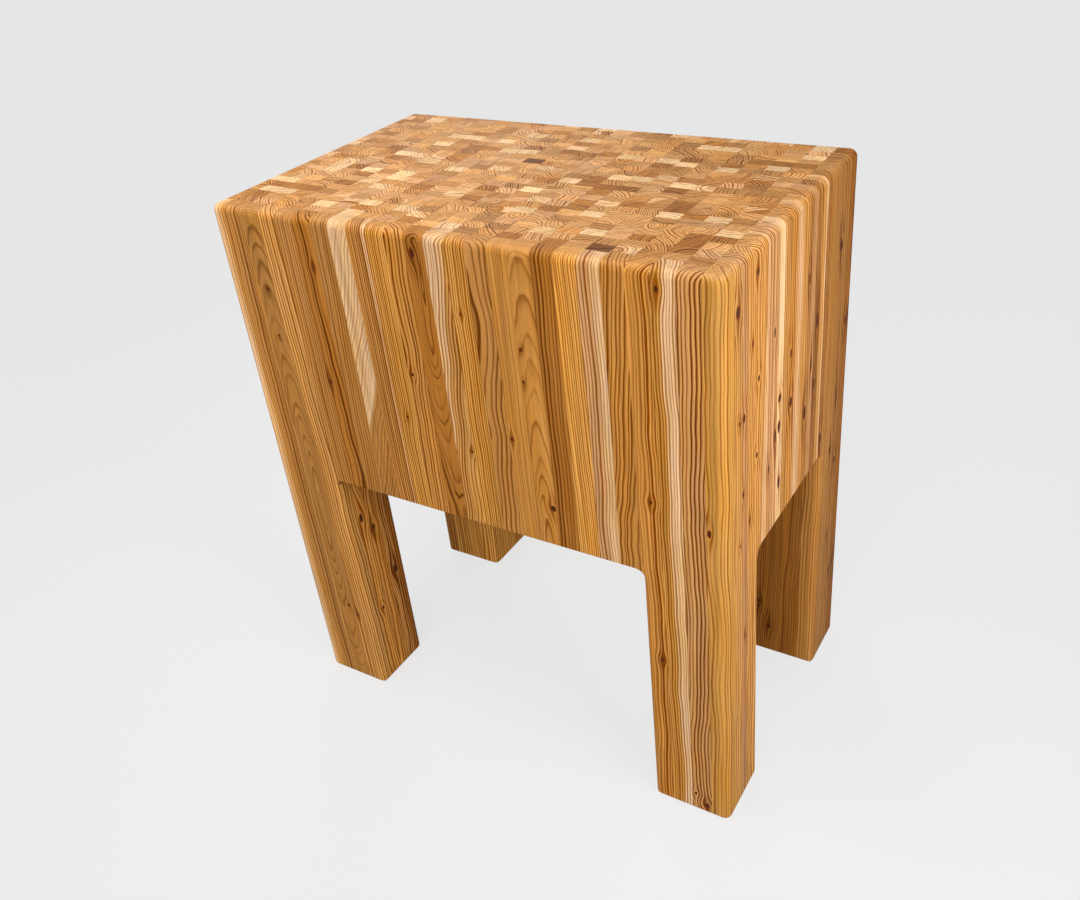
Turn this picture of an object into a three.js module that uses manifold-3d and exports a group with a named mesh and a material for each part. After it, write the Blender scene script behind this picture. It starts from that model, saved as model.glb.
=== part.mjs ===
// Chopping block on four legs, glued up from upright softwood staves with the end grain on top.
// Staves are edge-glued into lamellae, upright slabs that run from front to back and stand face
// to face across the width. In the outer lamellae the staves at both ends are long: they run
// unbroken from the worktop to the floor and form the legs.
// Millimetres, +Z up, origin on the floor under the middle of the block, front towards -Y.

import * as THREE from 'three';
import { mergeVertices } from 'three/addons/utils/BufferGeometryUtils.js';
import Module from 'manifold-3d';

const wasm = await Module();
wasm.setup();

// Overall size
const WIDTH = 800;
const DEPTH = 485;
const HEIGHT = 900;
const BLOCK_HEIGHT = 450;

// Lamellae across the width: the outermost one on each side is planed thinner than the others
const MIDDLE_LAMELLAE = 17;
const LEG_LAMELLAE = 4;
const OUTER_LAMELLA = 28;

// Long staves from front to back in one leg, counted from its corner
const LEG_STAVES = 5;
const CORNER_STAVE = 29;
const STAVE_WIDTH = 20.75;

// Rounding of the edges
const CORNER_RADIUS = 12;
const TOP_RADIUS = 11;
const FILLET_RADIUS = 14;
const ARRIS_RADIUS = 1;
const SOLE_CHAMFER = 2;
const ARC_STEPS = 6;

// How far a cut reaches past the outside of the block
const CUT_MARGIN = 5;

// Sizes that follow from those above
const LAMELLAE = MIDDLE_LAMELLAE + 2 * LEG_LAMELLAE;
const INNER_LAMELLA = (WIDTH - 2 * OUTER_LAMELLA) / (LAMELLAE - 2);
const LEG_WIDTH = OUTER_LAMELLA + (LEG_LAMELLAE - 1) * INNER_LAMELLA;
const LEG_DEPTH = CORNER_STAVE + (LEG_STAVES - 1) * STAVE_WIDTH;
const UNDERSIDE = HEIGHT - BLOCK_HEIGHT;
const LEFT = -WIDTH / 2;
const RIGHT = WIDTH / 2;
const FRONT = -DEPTH / 2;
const BACK = DEPTH / 2;

// Where the cuts that part short staves and long staves from the rest begin
const SHORT_STAVE_FOOT = UNDERSIDE - FILLET_RADIUS;
const LONG_STAVE_FOOT = -CUT_MARGIN;

// Oiled larch, from pale sapwood to brown heartwood
const WOOD_COLOURS = ['#c48a4e', '#d9a765', '#b37a42', '#cf9a5c', '#a86f3a', '#e2bd8a'];
const WOOD_ROUGHNESS = 0.6;

// The corners of a rectangle, anticlockwise from the lowest x and y, each rounded by radiusAt(x, y).
function roundedRectangle(x0, x1, y0, y1, radiusAt) {
  const corners = [[x0, y0, Math.PI], [x1, y0, 1.5 * Math.PI], [x1, y1, 0], [x0, y1, Math.PI / 2]];
  const outline = [];
  for (const [x, y, start] of corners) {
    const radius = radiusAt(x, y);
    const centreX = x === x0 ? x + radius : x - radius;
    const centreY = y === y0 ? y + radius : y - radius;
    for (let step = 0; step <= ARC_STEPS; step += 1) {
      const angle = start + (step / ARC_STEPS) * (Math.PI / 2);
      outline.push(new THREE.Vector2(centreX + radius * Math.cos(angle), centreY + radius * Math.sin(angle)));
    }
  }
  return outline;
}

// A closed skin through outlines with the same number of points, listed from the bottom up.
function loft(rings) {
  const count = rings[0].outline.length;
  const positions = rings.flatMap(({ z, outline }) => outline.flatMap((point) => [point.x, point.y, z]));
  const triangles = [];
  for (let ring = 0; ring < rings.length - 1; ring += 1) {
    for (let i = 0; i < count; i += 1) {
      const low = ring * count + i;
      const lowNext = ring * count + ((i + 1) % count);
      triangles.push(low, lowNext, lowNext + count, low, lowNext + count, low + count);
    }
  }
  const topStart = (rings.length - 1) * count;
  for (const [a, b, c] of THREE.ShapeUtils.triangulateShape(rings[0].outline, [])) {
    triangles.push(a, c, b);
  }
  for (const [a, b, c] of THREE.ShapeUtils.triangulateShape(rings.at(-1).outline, [])) {
    triangles.push(topStart + a, topStart + b, topStart + c);
  }
  const geometry = new THREE.BufferGeometry();
  geometry.setAttribute('position', new THREE.Float32BufferAttribute(positions, 3));
  geometry.setIndex(triangles);
  return geometry;
}

function toSolid(geometry) {
  geometry.deleteAttribute('normal');
  geometry.deleteAttribute('uv');
  const merged = mergeVertices(geometry);
  return new wasm.Manifold(new wasm.Mesh({
    numProp: 3,
    vertProperties: merged.attributes.position.array,
    triVerts: Uint32Array.from(merged.index.array),
  }));
}

function toGeometry(solid) {
  const { vertProperties, triVerts } = solid.getMesh();
  const geometry = new THREE.BufferGeometry();
  geometry.setAttribute('position', new THREE.BufferAttribute(vertProperties, 3));
  geometry.setIndex(new THREE.BufferAttribute(triVerts, 1));
  return geometry;
}

// The mass above the underside, with rounded upright corners and a rounded top edge.
function blockSolid() {
  const ring = (z, inset) => ({
    z,
    outline: roundedRectangle(LEFT + inset, RIGHT - inset, FRONT + inset, BACK - inset,
      () => Math.max(CORNER_RADIUS - inset, ARRIS_RADIUS)),
  });
  const rings = [ring(UNDERSIDE, 0)];
  for (let step = 0; step <= ARC_STEPS; step += 1) {
    const angle = (step / ARC_STEPS) * (Math.PI / 2);
    rings.push(ring(HEIGHT - TOP_RADIUS * (1 - Math.sin(angle)), TOP_RADIUS * (1 - Math.cos(angle))));
  }
  return toSolid(loft(rings));
}

// One leg below the block. Its outer faces are flush with the block, its upright edges are rounded,
// and its inner faces sweep out into the underside, where the rounding of the flush edges runs out.
function legSolid(sideX, sideY) {
  const outerX = sideX * RIGHT;
  const outerY = sideY * BACK;
  const ring = (z, flare, flushRadius, inset) => {
    const innerX = sideX * (RIGHT - LEG_WIDTH - flare);
    const innerY = sideY * (BACK - LEG_DEPTH - flare);
    const x0 = Math.min(outerX, innerX) + inset;
    const x1 = Math.max(outerX, innerX) - inset;
    const y0 = Math.min(outerY, innerY) + inset;
    const y1 = Math.max(outerY, innerY) - inset;
    const radiusAt = (x, y) => {
      const onOuterX = x * sideX > RIGHT - LEG_WIDTH / 2;
      const onOuterY = y * sideY > BACK - LEG_DEPTH / 2;
      if (onOuterX && onOuterY) return CORNER_RADIUS - inset;
      return onOuterX || onOuterY ? flushRadius - inset : CORNER_RADIUS + flare - inset;
    };
    return { z, outline: roundedRectangle(x0, x1, y0, y1, radiusAt) };
  };
  const rings = [ring(0, 0, CORNER_RADIUS, SOLE_CHAMFER), ring(SOLE_CHAMFER, 0, CORNER_RADIUS, 0)];
  for (let step = 0; step <= ARC_STEPS; step += 1) {
    const angle = (step / ARC_STEPS) * (Math.PI / 2);
    const flare = FILLET_RADIUS * (1 - Math.cos(angle));
    const flushRadius = ARRIS_RADIUS + (CORNER_RADIUS - ARRIS_RADIUS) * Math.cos(angle);
    rings.push(ring(UNDERSIDE - FILLET_RADIUS * (1 - Math.sin(angle)), flare, flushRadius, 0));
  }
  return toSolid(loft(rings));
}

function cuttingBox(x0, x1, y0, y1, z0) {
  const z1 = HEIGHT + CUT_MARGIN;
  const geometry = new THREE.BoxGeometry(x1 - x0, y1 - y0, z1 - z0);
  const position = geometry.attributes.position;
  for (let i = 0; i < position.count; i += 1) {
    position.setXYZ(i, position.getX(i) < 0 ? x0 : x1, position.getY(i) < 0 ? y0 : y1,
      position.getZ(i) < 0 ? z0 : z1);
  }
  return toSolid(geometry);
}

// Where the glue lines between the lamellae lie, from the left side to the right side.
function glueLines() {
  const lines = [LEFT - CUT_MARGIN];
  for (let line = 0; line < LAMELLAE - 1; line += 1) {
    lines.push(LEFT + OUTER_LAMELLA + line * INNER_LAMELLA);
  }
  lines.push(RIGHT + CUT_MARGIN);
  return lines;
}

const whole = [[-1, -1], [1, -1], [-1, 1], [1, 1]]
  .reduce((solid, [sideX, sideY]) => solid.add(legSolid(sideX, sideY)), blockSolid());

function piece(name, colour, x0, x1, y0, y1, z0) {
  const material = new THREE.MeshStandardMaterial({
    color: WOOD_COLOURS[colour % WOOD_COLOURS.length],
    roughness: WOOD_ROUGHNESS,
    metalness: 0,
    flatShading: true,
  });
  const mesh = new THREE.Mesh(toGeometry(whole.intersect(cuttingBox(x0, x1, y0, y1, z0))), material);
  mesh.name = name;
  return mesh;
}

// A lamella without legs is one slab of short staves, as deep as the block.
function middleLamella(index, x0, x1) {
  const number = String(index - LEG_LAMELLAE + 1).padStart(2, '0');
  const group = new THREE.Group();
  group.add(piece(`middle_lamella_${number}`, index, x0, x1, FRONT - CUT_MARGIN, BACK + CUT_MARGIN,
    SHORT_STAVE_FOOT));
  return group;
}

// A lamella with legs is a panel of short staves between a front post and a back post of long ones.
// Its number counts from the outside of the block.
function legLamella(index, x0, x1) {
  const onLeft = index < LEG_LAMELLAE;
  const side = onLeft ? 'left' : 'right';
  const number = onLeft ? index + 1 : LAMELLAE - index;
  const frontSeam = FRONT + LEG_DEPTH;
  const backSeam = BACK - LEG_DEPTH;
  const group = new THREE.Group();
  group.add(piece(`front_${side}_post_${number}`, index + 1, x0, x1, FRONT - CUT_MARGIN, frontSeam,
    LONG_STAVE_FOOT));
  group.add(piece(`${side}_panel_${number}`, index, x0, x1, frontSeam, backSeam, SHORT_STAVE_FOOT));
  group.add(piece(`back_${side}_post_${number}`, index + 2, x0, x1, backSeam, BACK + CUT_MARGIN,
    LONG_STAVE_FOOT));
  return group;
}

const choppingBlock = new THREE.Group();
const lines = glueLines();
for (let index = 0; index < LAMELLAE; index += 1) {
  const isMiddle = index >= LEG_LAMELLAE && index < LAMELLAE - LEG_LAMELLAE;
  const makeLamella = isMiddle ? middleLamella : legLamella;
  choppingBlock.add(makeLamella(index, lines[index], lines[index + 1]));
}

export default choppingBlock;
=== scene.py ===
"""Chopping block of oiled larch, drawn stave by stave.

Upright staves are glued into lamellae that stand side by side. The long staves at the corners run
down to the floor as legs. One shader draws the growth rings of every stave from the place of its
pith, so the end grain on top and the grain down the sides belong to the same piece of wood.
"""
import logging
import math
import random
from dataclasses import dataclass, field
from enum import Enum
from typing import Callable, Iterable, Optional, Sequence, Union

import bpy
from mathutils import Euler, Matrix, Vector


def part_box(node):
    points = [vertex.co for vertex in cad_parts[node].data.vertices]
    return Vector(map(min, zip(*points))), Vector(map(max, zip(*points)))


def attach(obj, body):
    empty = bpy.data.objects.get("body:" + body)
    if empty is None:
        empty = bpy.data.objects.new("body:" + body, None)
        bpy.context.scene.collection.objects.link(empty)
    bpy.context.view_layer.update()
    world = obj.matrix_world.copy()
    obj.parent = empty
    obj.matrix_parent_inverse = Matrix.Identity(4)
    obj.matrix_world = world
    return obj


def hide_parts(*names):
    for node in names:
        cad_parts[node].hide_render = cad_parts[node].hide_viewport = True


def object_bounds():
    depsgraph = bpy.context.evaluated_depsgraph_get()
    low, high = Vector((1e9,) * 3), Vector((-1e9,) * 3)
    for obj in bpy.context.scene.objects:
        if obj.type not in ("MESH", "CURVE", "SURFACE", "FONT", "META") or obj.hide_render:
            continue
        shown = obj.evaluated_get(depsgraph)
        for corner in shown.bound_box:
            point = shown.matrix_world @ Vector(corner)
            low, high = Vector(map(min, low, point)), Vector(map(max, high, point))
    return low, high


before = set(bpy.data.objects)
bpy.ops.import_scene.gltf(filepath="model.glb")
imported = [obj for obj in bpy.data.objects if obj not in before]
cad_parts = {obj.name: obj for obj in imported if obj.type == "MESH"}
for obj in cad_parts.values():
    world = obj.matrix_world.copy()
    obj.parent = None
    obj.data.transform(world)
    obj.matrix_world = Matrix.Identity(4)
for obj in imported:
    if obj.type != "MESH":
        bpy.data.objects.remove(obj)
CAD_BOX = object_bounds()

LOG = logging.getLogger("chopping_block")
MM = 0.001
BODY = "root"
MAP_NAME = "OFBake"

# Lengths in millimetres: within SAME two places are one, and within TOUCH a point lies on a face
SAME = 0.01
TOUCH = 1.0
TINY = 1e-6

Socket = Union[bpy.types.NodeSocket, float]
Span = tuple[float, float]
Triple = tuple[float, float, float]
Place = tuple[int, int, int]
Box = tuple[float, float, float, float]
Ends = dict[tuple[int, int], bool]


def from_srgb(red: int, green: int, blue: int) -> Triple:
    """Turn a screen colour into a linear one.

    Args:
        red: Red, from 0 to 255.
        green: Green, from 0 to 255.
        blue: Blue, from 0 to 255.

    Returns:
        The linear colour.
    """
    shares = (red / 255, green / 255, blue / 255)
    return tuple(s / 12.92 if s <= 0.04045 else ((s + 0.055) / 1.055) ** 2.4 for s in shares)


def in_mm(place: Sequence[float]) -> Triple:
    """Turn a place of the frame into millimetres.

    Args:
        place: The place in metres.

    Returns:
        The place in millimetres, rounded to a hundredth.
    """
    return tuple(round(part / MM, 2) for part in place)


@dataclass(frozen=True)
class LarchTone:
    """One tone of larch.

    Attributes:
        early: Its pale early wood.
        late: Its dark late wood.
        contrast: How boldly its rings stand out.
        spacing: The least and the greatest width of a ring, in millimetres.
    """

    early: Triple
    late: Triple
    contrast: float
    spacing: Span

    def dry_end_sheen_weight(self) -> float:
        """Tell how much of the pale dry look and painted sheen its end grain takes, from 0 to 1, which is
        more for pale wood.
        """
        return min((3.1 * self.early[1]) ** 1.5, 1.0)


class Kind(Enum):
    """The tones that the staves come in."""

    BROWN = LarchTone(from_srgb(188, 131, 66), from_srgb(100, 49, 0), 1.05, (3.4, 4.6))
    TAN = LarchTone(from_srgb(210, 154, 84), from_srgb(132, 74, 10), 1.05, (3.4, 4.6))
    ORANGE = LarchTone(from_srgb(198, 137, 64), from_srgb(116, 58, 0), 1.05, (3.8, 5.0))
    GOLDEN = LarchTone(from_srgb(212, 154, 76), from_srgb(136, 75, 4), 1.05, (3.4, 4.6))
    PINK = LarchTone(from_srgb(210, 158, 104), from_srgb(130, 75, 28), 1.1, (3.8, 5.4))
    CREAM = LarchTone(from_srgb(236, 202, 150), from_srgb(172, 118, 62), 1.0, (3.8, 5.4))
    STRIPED = LarchTone(from_srgb(206, 150, 88), from_srgb(110, 54, 8), 1.2, (4.6, 6.0))
    DARK = LarchTone(from_srgb(174, 112, 44), from_srgb(92, 44, 0), 1.1, (3.6, 4.8))
    UMBER = LarchTone(from_srgb(116, 70, 34), from_srgb(62, 33, 12), 1.0, (2.8, 4.0))


class Cut(Enum):
    """How a stave was sawn from the log, seen on the face that shows."""

    QUARTER = "straight lines"
    RIFT = "slanting lines"
    CORNER = "slanting lines on two faces"
    FLAT = "arches"


class Side(Enum):
    """The outward direction of an upright face."""

    FRONT = (0.0, -1.0)
    BACK = (0.0, 1.0)
    LEFT = (-1.0, 0.0)
    RIGHT = (1.0, 0.0)


@dataclass(frozen=True)
class Knot:
    """A knot that shows on an upright face, in millimetres.

    Attributes:
        across: Distance from the middle of the stave along the face, towards +X or +Y.
        height: Height above the floor.
        radius: Half of its width.
        stretch: How many times it is taller than wide.
    """

    across: float
    height: float
    radius: float
    stretch: float = 1.3


@dataclass(frozen=True)
class StaveLook:
    """The wood of one stave that shows on an upright face.

    Attributes:
        kind: The tone of its heartwood.
        cut: How it was sawn.
        knots: The knots that show.
        sway: How much its lines wander.
        turn: The side that the pith lies on, or the way that arches point, -1 or 1, or 0 for either.
        sap: Where along the face the pale sapwood starts, away from the pith, if it has any.
        tilt: How far its lines slant along the face for each millimetre of height.
        spacing: The width of a ring, where the tone's own does not suit.
        shade: How much lighter or darker it is than its tone; on the back right leg's front face its low
            value paints the shade under the block.
        reach: How far along the face the pith lies, where the cut's own does not suit.
        bold: How much its rings stand out, next to those of its tone.
    """

    kind: Kind
    cut: Cut = Cut.QUARTER
    knots: tuple[Knot, ...] = ()
    sway: float = 1.0
    turn: int = 0
    sap: Optional[float] = None
    tilt: float = 0.0
    spacing: Optional[float] = None
    shade: float = 1.0
    reach: Optional[float] = None
    bold: float = 1.0


@dataclass(frozen=True)
class BlockShape:
    """The rounded outside of the block and its legs, in millimetres.

    Attributes:
        half_width: Distance of the left and right faces from the middle.
        half_depth: Distance of the front and back faces from the middle.
        height: Height of the worktop.
        underside: Height of the underside between the legs.
        leg_x: Distance of a leg's inner face from the middle, along the width.
        leg_y: Distance of a leg's inner face from the middle, along the depth.
        edge: Radius of the outer edges, and of the inner edge of a leg.
        flush_edge: Radius of the leg edges that are flush with the block.
        fillet: Radius of the sweep from a leg into the underside.
        ease: Radius of the edge of the underside.
        sole: Radius of the edge of a sole.
        runout: Length over which a leg edge narrows into the edge of the underside.
        row: Height of the strips just above the underside.
        steps: Number of strips across a rounding.
    """

    half_width: float
    half_depth: float
    height: float
    underside: float
    leg_x: float
    leg_y: float
    edge: float = 12.0
    flush_edge: float = 10.0
    fillet: float = 12.0
    ease: float = 1.2
    sole: float = 4.0
    runout: float = 25.0
    row: float = 1.2
    steps: int = 5

    @classmethod
    def from_frame(cls) -> "BlockShape":
        """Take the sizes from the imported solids.

        Returns:
            The shape, with roundings of its own.
        """
        half_width, half_depth, height = in_mm(CAD_BOX[1])
        leg_x, leg_y, _ = in_mm(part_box("back_right_post_4")[0])
        underside = in_mm(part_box("middle_lamella_09")[0])[2]
        return cls(half_width, half_depth, height, underside, leg_x, leg_y)

    def rim(self) -> list[float]:
        """List the distances from an outer face at which a rounded edge is cut into strips."""
        angles = (step * math.pi / 4 / self.steps for step in range(self.steps + 1))
        return [self.edge * (1 - math.tan(angle)) for angle in angles]

    def sweep(self) -> list[float]:
        """List the distances from a leg at which its fillet is cut into strips."""
        angles = (step * math.pi / 2 / self.steps for step in range(self.steps + 1))
        return [self.fillet * (1 - math.cos(angle)) for angle in angles]

    def rows(self) -> list[float]:
        """List the heights at which a face is cut into strips just above the underside."""
        return [self.underside + self.row * step for step in range(self.steps + 1)]

    def stretch(self, z: float, bottom: float) -> float:
        """Stretch the strips above the underside down to a lower bottom.

        Args:
            z: Height of a strip's edge above a level underside.
            bottom: Height of the real bottom.

        Returns:
            The height of the strip's edge above that bottom.
        """
        top = self.rows()[-1]
        return top - (top - z) * (top - bottom) / (top - self.underside)

    def opening(self, inside: float, z: float) -> tuple[float, float, float, float]:
        """Find how a point lies to the opening between two legs.

        Args:
            inside: Distance past the leg's inner face, below 0 in front of it.
            z: Height above the floor.

        Returns:
            How deep the point lies in the wood, the way out of the wood towards the opening and
            downwards, and the radius of the rounded edge there.
        """
        over, up = inside + self.fillet, z - self.underside + self.fillet
        if up <= 0:
            depth, out, down, along = inside, 1.0, 0.0, self.fillet * math.pi / 2 - up
        elif over <= 0:
            depth, out, down, along = up - self.fillet, 0.0, 1.0, 0.0
        else:
            away = math.hypot(over, up)
            depth, out, down = away - self.fillet, over / away, up / away
            along = self.fillet * math.atan2(over, up)
        share = min(along / self.runout, 1.0)
        eased = share * share * (3 - 2 * share)
        return depth, out, down, self.ease + (self.flush_edge - self.ease) * eased

    def open_end(self, span: Span, half: float, leg: float, is_long: bool) -> int:
        """Find which end of a stave's width or depth shows as an upright face.

        Args:
            span: The ends of the stave.
            half: Distance of the block's outer face.
            leg: Distance of the leg's inner face.
            is_long: Whether the stave is part of a leg.

        Returns:
            -1 for the low end, 1 for the high end, or 0 where both are glued.
        """
        low, high = span
        if low < TOUCH - half or (is_long and abs(low - leg) < TOUCH):
            return -1
        return int(high > half - TOUCH or (is_long and abs(high + leg) < TOUCH))

    def open_x(self, x: Span, is_long: bool) -> int:
        """Find which end of a stave's width shows."""
        return self.open_end(x, self.half_width, self.leg_x, is_long)

    def open_y(self, y: Span, is_long: bool) -> int:
        """Find which end of a stave's depth shows."""
        return self.open_end(y, self.half_depth, self.leg_y, is_long)

    def underside_at(self, x: float, y: float) -> tuple[float, Vector]:
        """Find the underside, which sweeps down to the legs in a fillet.

        Args:
            x: Place along the width.
            y: Place along the depth.

        Returns:
            The height there and the outward normal.
        """
        off_x = self.leg_x - abs(x) + self.edge
        off_y = self.leg_y - abs(y) + self.edge
        away = Vector((-math.copysign(max(off_x, 0.0), x), -math.copysign(max(off_y, 0.0), y), 0.0))
        gap = away.length - self.edge + min(max(off_x, off_y), 0.0)
        if gap >= self.fillet:
            return self.underside, Vector((0, 0, -1))
        rest = self.fillet - max(gap, 0.0)
        drop = math.sqrt(self.fillet ** 2 - rest ** 2)
        normal = away.normalized() * (rest / self.fillet)
        normal.z = -drop / self.fillet
        return self.underside - self.fillet + drop, normal.normalized()

    def settle(self, x: float, y: float, z: float, is_long: bool) -> tuple[Vector, Optional[Vector]]:
        """Move a point of a square-edged stave onto the rounded outside.

        Args:
            x: Place along the width.
            y: Place along the depth.
            z: Height above the floor.
            is_long: Whether the stave is part of a leg.

        Returns:
            The point, and the outward normal where the point lies on a rounded edge.
        """
        point, edge = Vector((x, y, z)), self.edge
        out_x, out_y = Vector((math.copysign(1.0, x), 0, 0)), Vector((0, math.copysign(1.0, y), 0))
        gap_x, gap_y = self.half_width - abs(x), self.half_depth - abs(y)
        in_x, in_y = abs(x) - self.leg_x, abs(y) - self.leg_y
        top = Vector((0, 0, max(0.0, edge - self.height + z)))
        pulls = [(out_x * max(0.0, edge - gap_x) + out_y * max(0.0, edge - gap_y) + top, edge)]
        if is_long and z <= self.underside:
            pulls.append((-out_x * max(0.0, edge - in_x) - out_y * max(0.0, edge - in_y), edge))
        pulls = [(pull, radius) for pull, radius in pulls if sum(abs(part) > TINY for part in pull) > 1]
        for inside, way, gap, face in ((in_x, out_x, gap_y, out_y), (in_y, out_y, gap_x, out_x)):
            depth, out, down, radius = self.opening(inside, z)
            if gap < radius and depth < radius:
                from_opening = way * out + Vector((0, 0, down))
                pulls.append((face * (radius - gap) - from_opening * (radius - depth), radius))
        for pull, radius in pulls:
            if pull.length >= radius - TINY:
                normal = pull.normalized()
                return point - pull + normal * radius, normal
        return point, None


@dataclass
class Stave:
    """One upright stave: its place in the block and its wood, in millimetres.

    Attributes:
        x: Its ends along the width.
        y: Its ends along the depth.
        is_long: Whether it is part of a leg.
        kind: The tone of its heartwood.
        pith: The place of the pith, which may lie outside the stave.
        lean: How far the pith leans for each millimetre of height.
        spacing: The width of a ring.
        thin: How thin the dark part of a ring is.
        contrast: How boldly its rings stand out.
        sway: How much the pith wanders along the width and the depth.
        seed: A number of its own for chance in the finish.
        shade: How much lighter or darker it is than its tone; on the back right leg's front face its low
            value paints the shade under the block.
        sap: The distance from the pith at which the sapwood starts.
        joints: The glued faces, as low and high along the width and the depth, far away where open.
        knots: The place and the form of each knot.
    """

    x: Span
    y: Span
    is_long: bool
    kind: Kind
    pith: Span
    lean: Span
    spacing: float
    thin: float
    contrast: float
    sway: Span
    seed: float
    shade: float
    sap: float
    joints: Box
    knots: list[tuple[Triple, Triple]] = field(default_factory=list)


@dataclass
class Face:
    """One polygon of a slab, with a normal for each corner and its place on the colour map."""

    corners: list[int]
    normals: list[Vector]
    group: str
    spots: list[Span]


@dataclass
class SlabMesh:
    """The mesh of one lamella, panel or post, as a closed solid for each of its staves.

    Attributes:
        shape: The outside of the block.
        points: Its points, in millimetres.
        owners: The number of the stave that each point belongs to.
        faces: Its polygons.
        hidden: How many of its polygons are glued.
        thinnest: The least width of a strip, in millimetres.
        leg_gaps: Where a leg is cut into strips below its fillet, in millimetres.
        sole_steps: Number of strips across the rounding of a sole.
        strip: Height of the row of glued polygons on the colour map.
        margin: Gap round the cell of a side that shows, on the colour map.
        cell_gap: Gap on each side of the cell of a glued polygon, as a share of its width.
        cell_foot: Gap below the cell of a glued polygon.
    """

    shape: BlockShape
    points: list[Vector] = field(default_factory=list)
    owners: list[int] = field(default_factory=list)
    faces: list[Face] = field(default_factory=list)
    hidden: int = 0
    thinnest: float = 0.3
    leg_gaps: Span = (3.0, 6.0)
    sole_steps: int = 3
    strip: float = 0.03
    margin: float = 0.004
    cell_gap: float = 0.1
    cell_foot: float = 0.002

    def lines(self, span: Span, marks: Iterable[float]) -> list[float]:
        """Cut a span into strips.

        Args:
            span: Its two ends.
            marks: Places to cut at, where they fall inside the span.

        Returns:
            The places of the cuts with both ends, in order.
        """
        low, high = span
        inner = {round(mark, 4) for mark in marks if low + self.thinnest < mark < high - self.thinnest}
        return [low, *sorted(inner), high]

    def plan_lines(self, span: Span, half: float, leg: float, is_long: bool) -> list[float]:
        """Cut a stave's width or depth where rounded edges and fillets need strips.

        Args:
            span: The ends of the stave.
            half: Distance of the block's outer face.
            leg: Distance of the leg's inner face.
            is_long: Whether the stave is part of a leg.

        Returns:
            The places of the cuts.
        """
        marks = [half - gap for gap in self.shape.rim()]
        marks += [leg + gap for gap in self.shape.rim()]
        if not is_long:
            marks += [leg - gap for gap in self.shape.sweep()]
        return self.lines(span, [side * mark for mark in marks for side in (-1, 1)])

    def height_lines(self, is_long: bool, is_outer: bool) -> list[float]:
        """Cut a stave's height where the sole, the opening and the top edge need strips.

        Args:
            is_long: Whether the stave is part of a leg.
            is_outer: Whether the stave shows on an upright face of the block.

        Returns:
            The heights of the cuts.
        """
        shape = self.shape
        foot = 0.0 if is_long else shape.underside
        marks = []
        if is_long:
            leg_top = shape.underside - shape.fillet
            angles = [step * math.pi / 2 / self.sole_steps for step in range(1, self.sole_steps + 1)]
            marks += [shape.sole * (1 - math.cos(angle)) for angle in angles]
            marks += [leg_top - gap for gap in self.leg_gaps]
            marks += [shape.stretch(row, leg_top) for row in shape.rows()]
        elif is_outer:
            marks += shape.rows()
        if is_outer or is_long:
            marks += [shape.height - gap for gap in shape.rim()]
        return self.lines((foot, shape.height), marks)

    def add(self, stave: Stave, owner: int) -> None:
        """Add one stave as a closed solid.

        Args:
            stave: The stave.
            owner: Its number in the slab.
        """
        shape = self.shape
        outer: Ends = {
            (0, 0): stave.x[0] <= -shape.half_width + SAME,
            (0, 1): stave.x[1] >= shape.half_width - SAME,
            (1, 0): stave.y[0] <= -shape.half_depth + SAME,
            (1, 1): stave.y[1] >= shape.half_depth - SAME,
        }
        inner: Ends = {
            (0, 0): abs(stave.x[0] - shape.leg_x) < SAME,
            (0, 1): abs(stave.x[1] + shape.leg_x) < SAME,
            (1, 0): abs(stave.y[0] - shape.leg_y) < SAME,
            (1, 1): abs(stave.y[1] + shape.leg_y) < SAME,
        }
        xs = self.plan_lines(stave.x, shape.half_width, shape.leg_x, stave.is_long)
        ys = self.plan_lines(stave.y, shape.half_depth, shape.leg_y, stave.is_long)
        zs = self.height_lines(stave.is_long, any(outer.values()))
        grid = (xs, ys, zs)
        made: dict[Place, int] = {}
        normals: dict[int, Optional[Vector]] = {}

        def corner(place: Place) -> int:
            """Make the point at a place of the grid, once.

            Args:
                place: The numbers of the cuts that meet in the point.

            Returns:
                The number of the point.
            """
            if place not in made:
                point, normal = self.place_point(stave, grid, place, outer, inner)
                made[place] = len(self.points)
                normals[made[place]] = normal
                self.points.append(point)
                self.owners.append(owner)
            return made[place]

        for axis in range(3):
            for end in range(2):
                split = 0
                if axis == 2 or outer[(axis, end)]:
                    split = None
                elif stave.is_long and inner[(axis, end)]:
                    split = next(number for number, z in enumerate(zs) if z > shape.underside)
                self.add_side(grid, axis, end, split, corner, normals)

    def place_point(self, stave: Stave, grid: Sequence[list[float]], place: Place,
                    outer: Ends, inner: Ends) -> tuple[Vector, Optional[Vector]]:
        """Find where a point of a stave's grid lies on the rounded block.

        Args:
            stave: The stave.
            grid: The cuts along X, Y and Z.
            place: The numbers of the cuts that meet in the point.
            outer: Which upright faces of the stave lie on the outside of the block.
            inner: Which upright faces of the stave lie on the inside of a leg.

        Returns:
            The point, and the outward normal where it lies on a rounded edge.
        """
        shape = self.shape
        x, y, z = (cuts[number] for cuts, number in zip(grid, place))
        if not stave.is_long and z <= shape.rows()[-1]:
            z = shape.stretch(z, shape.underside_at(x, y)[0])
        point, normal = shape.settle(x, y, z, stave.is_long)
        if stave.is_long and z < shape.sole - SAME:
            way = normal.copy() if normal else Vector((0, 0, 0))
            if normal is None:
                for axis in range(2):
                    for end in range(2):
                        at_end = place[axis] == (0, len(grid[axis]) - 1)[end]
                        if at_end and (outer[(axis, end)] or inner[(axis, end)]):
                            way[axis] += 2 * end - 1
            down = 1 - z / shape.sole
            side = math.sqrt(1 - down * down)
            point = point - way * shape.sole * (1 - side)
            normal = (way * side - Vector((0, 0, down))).normalized() if way.length else None
        return point, normal

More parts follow.
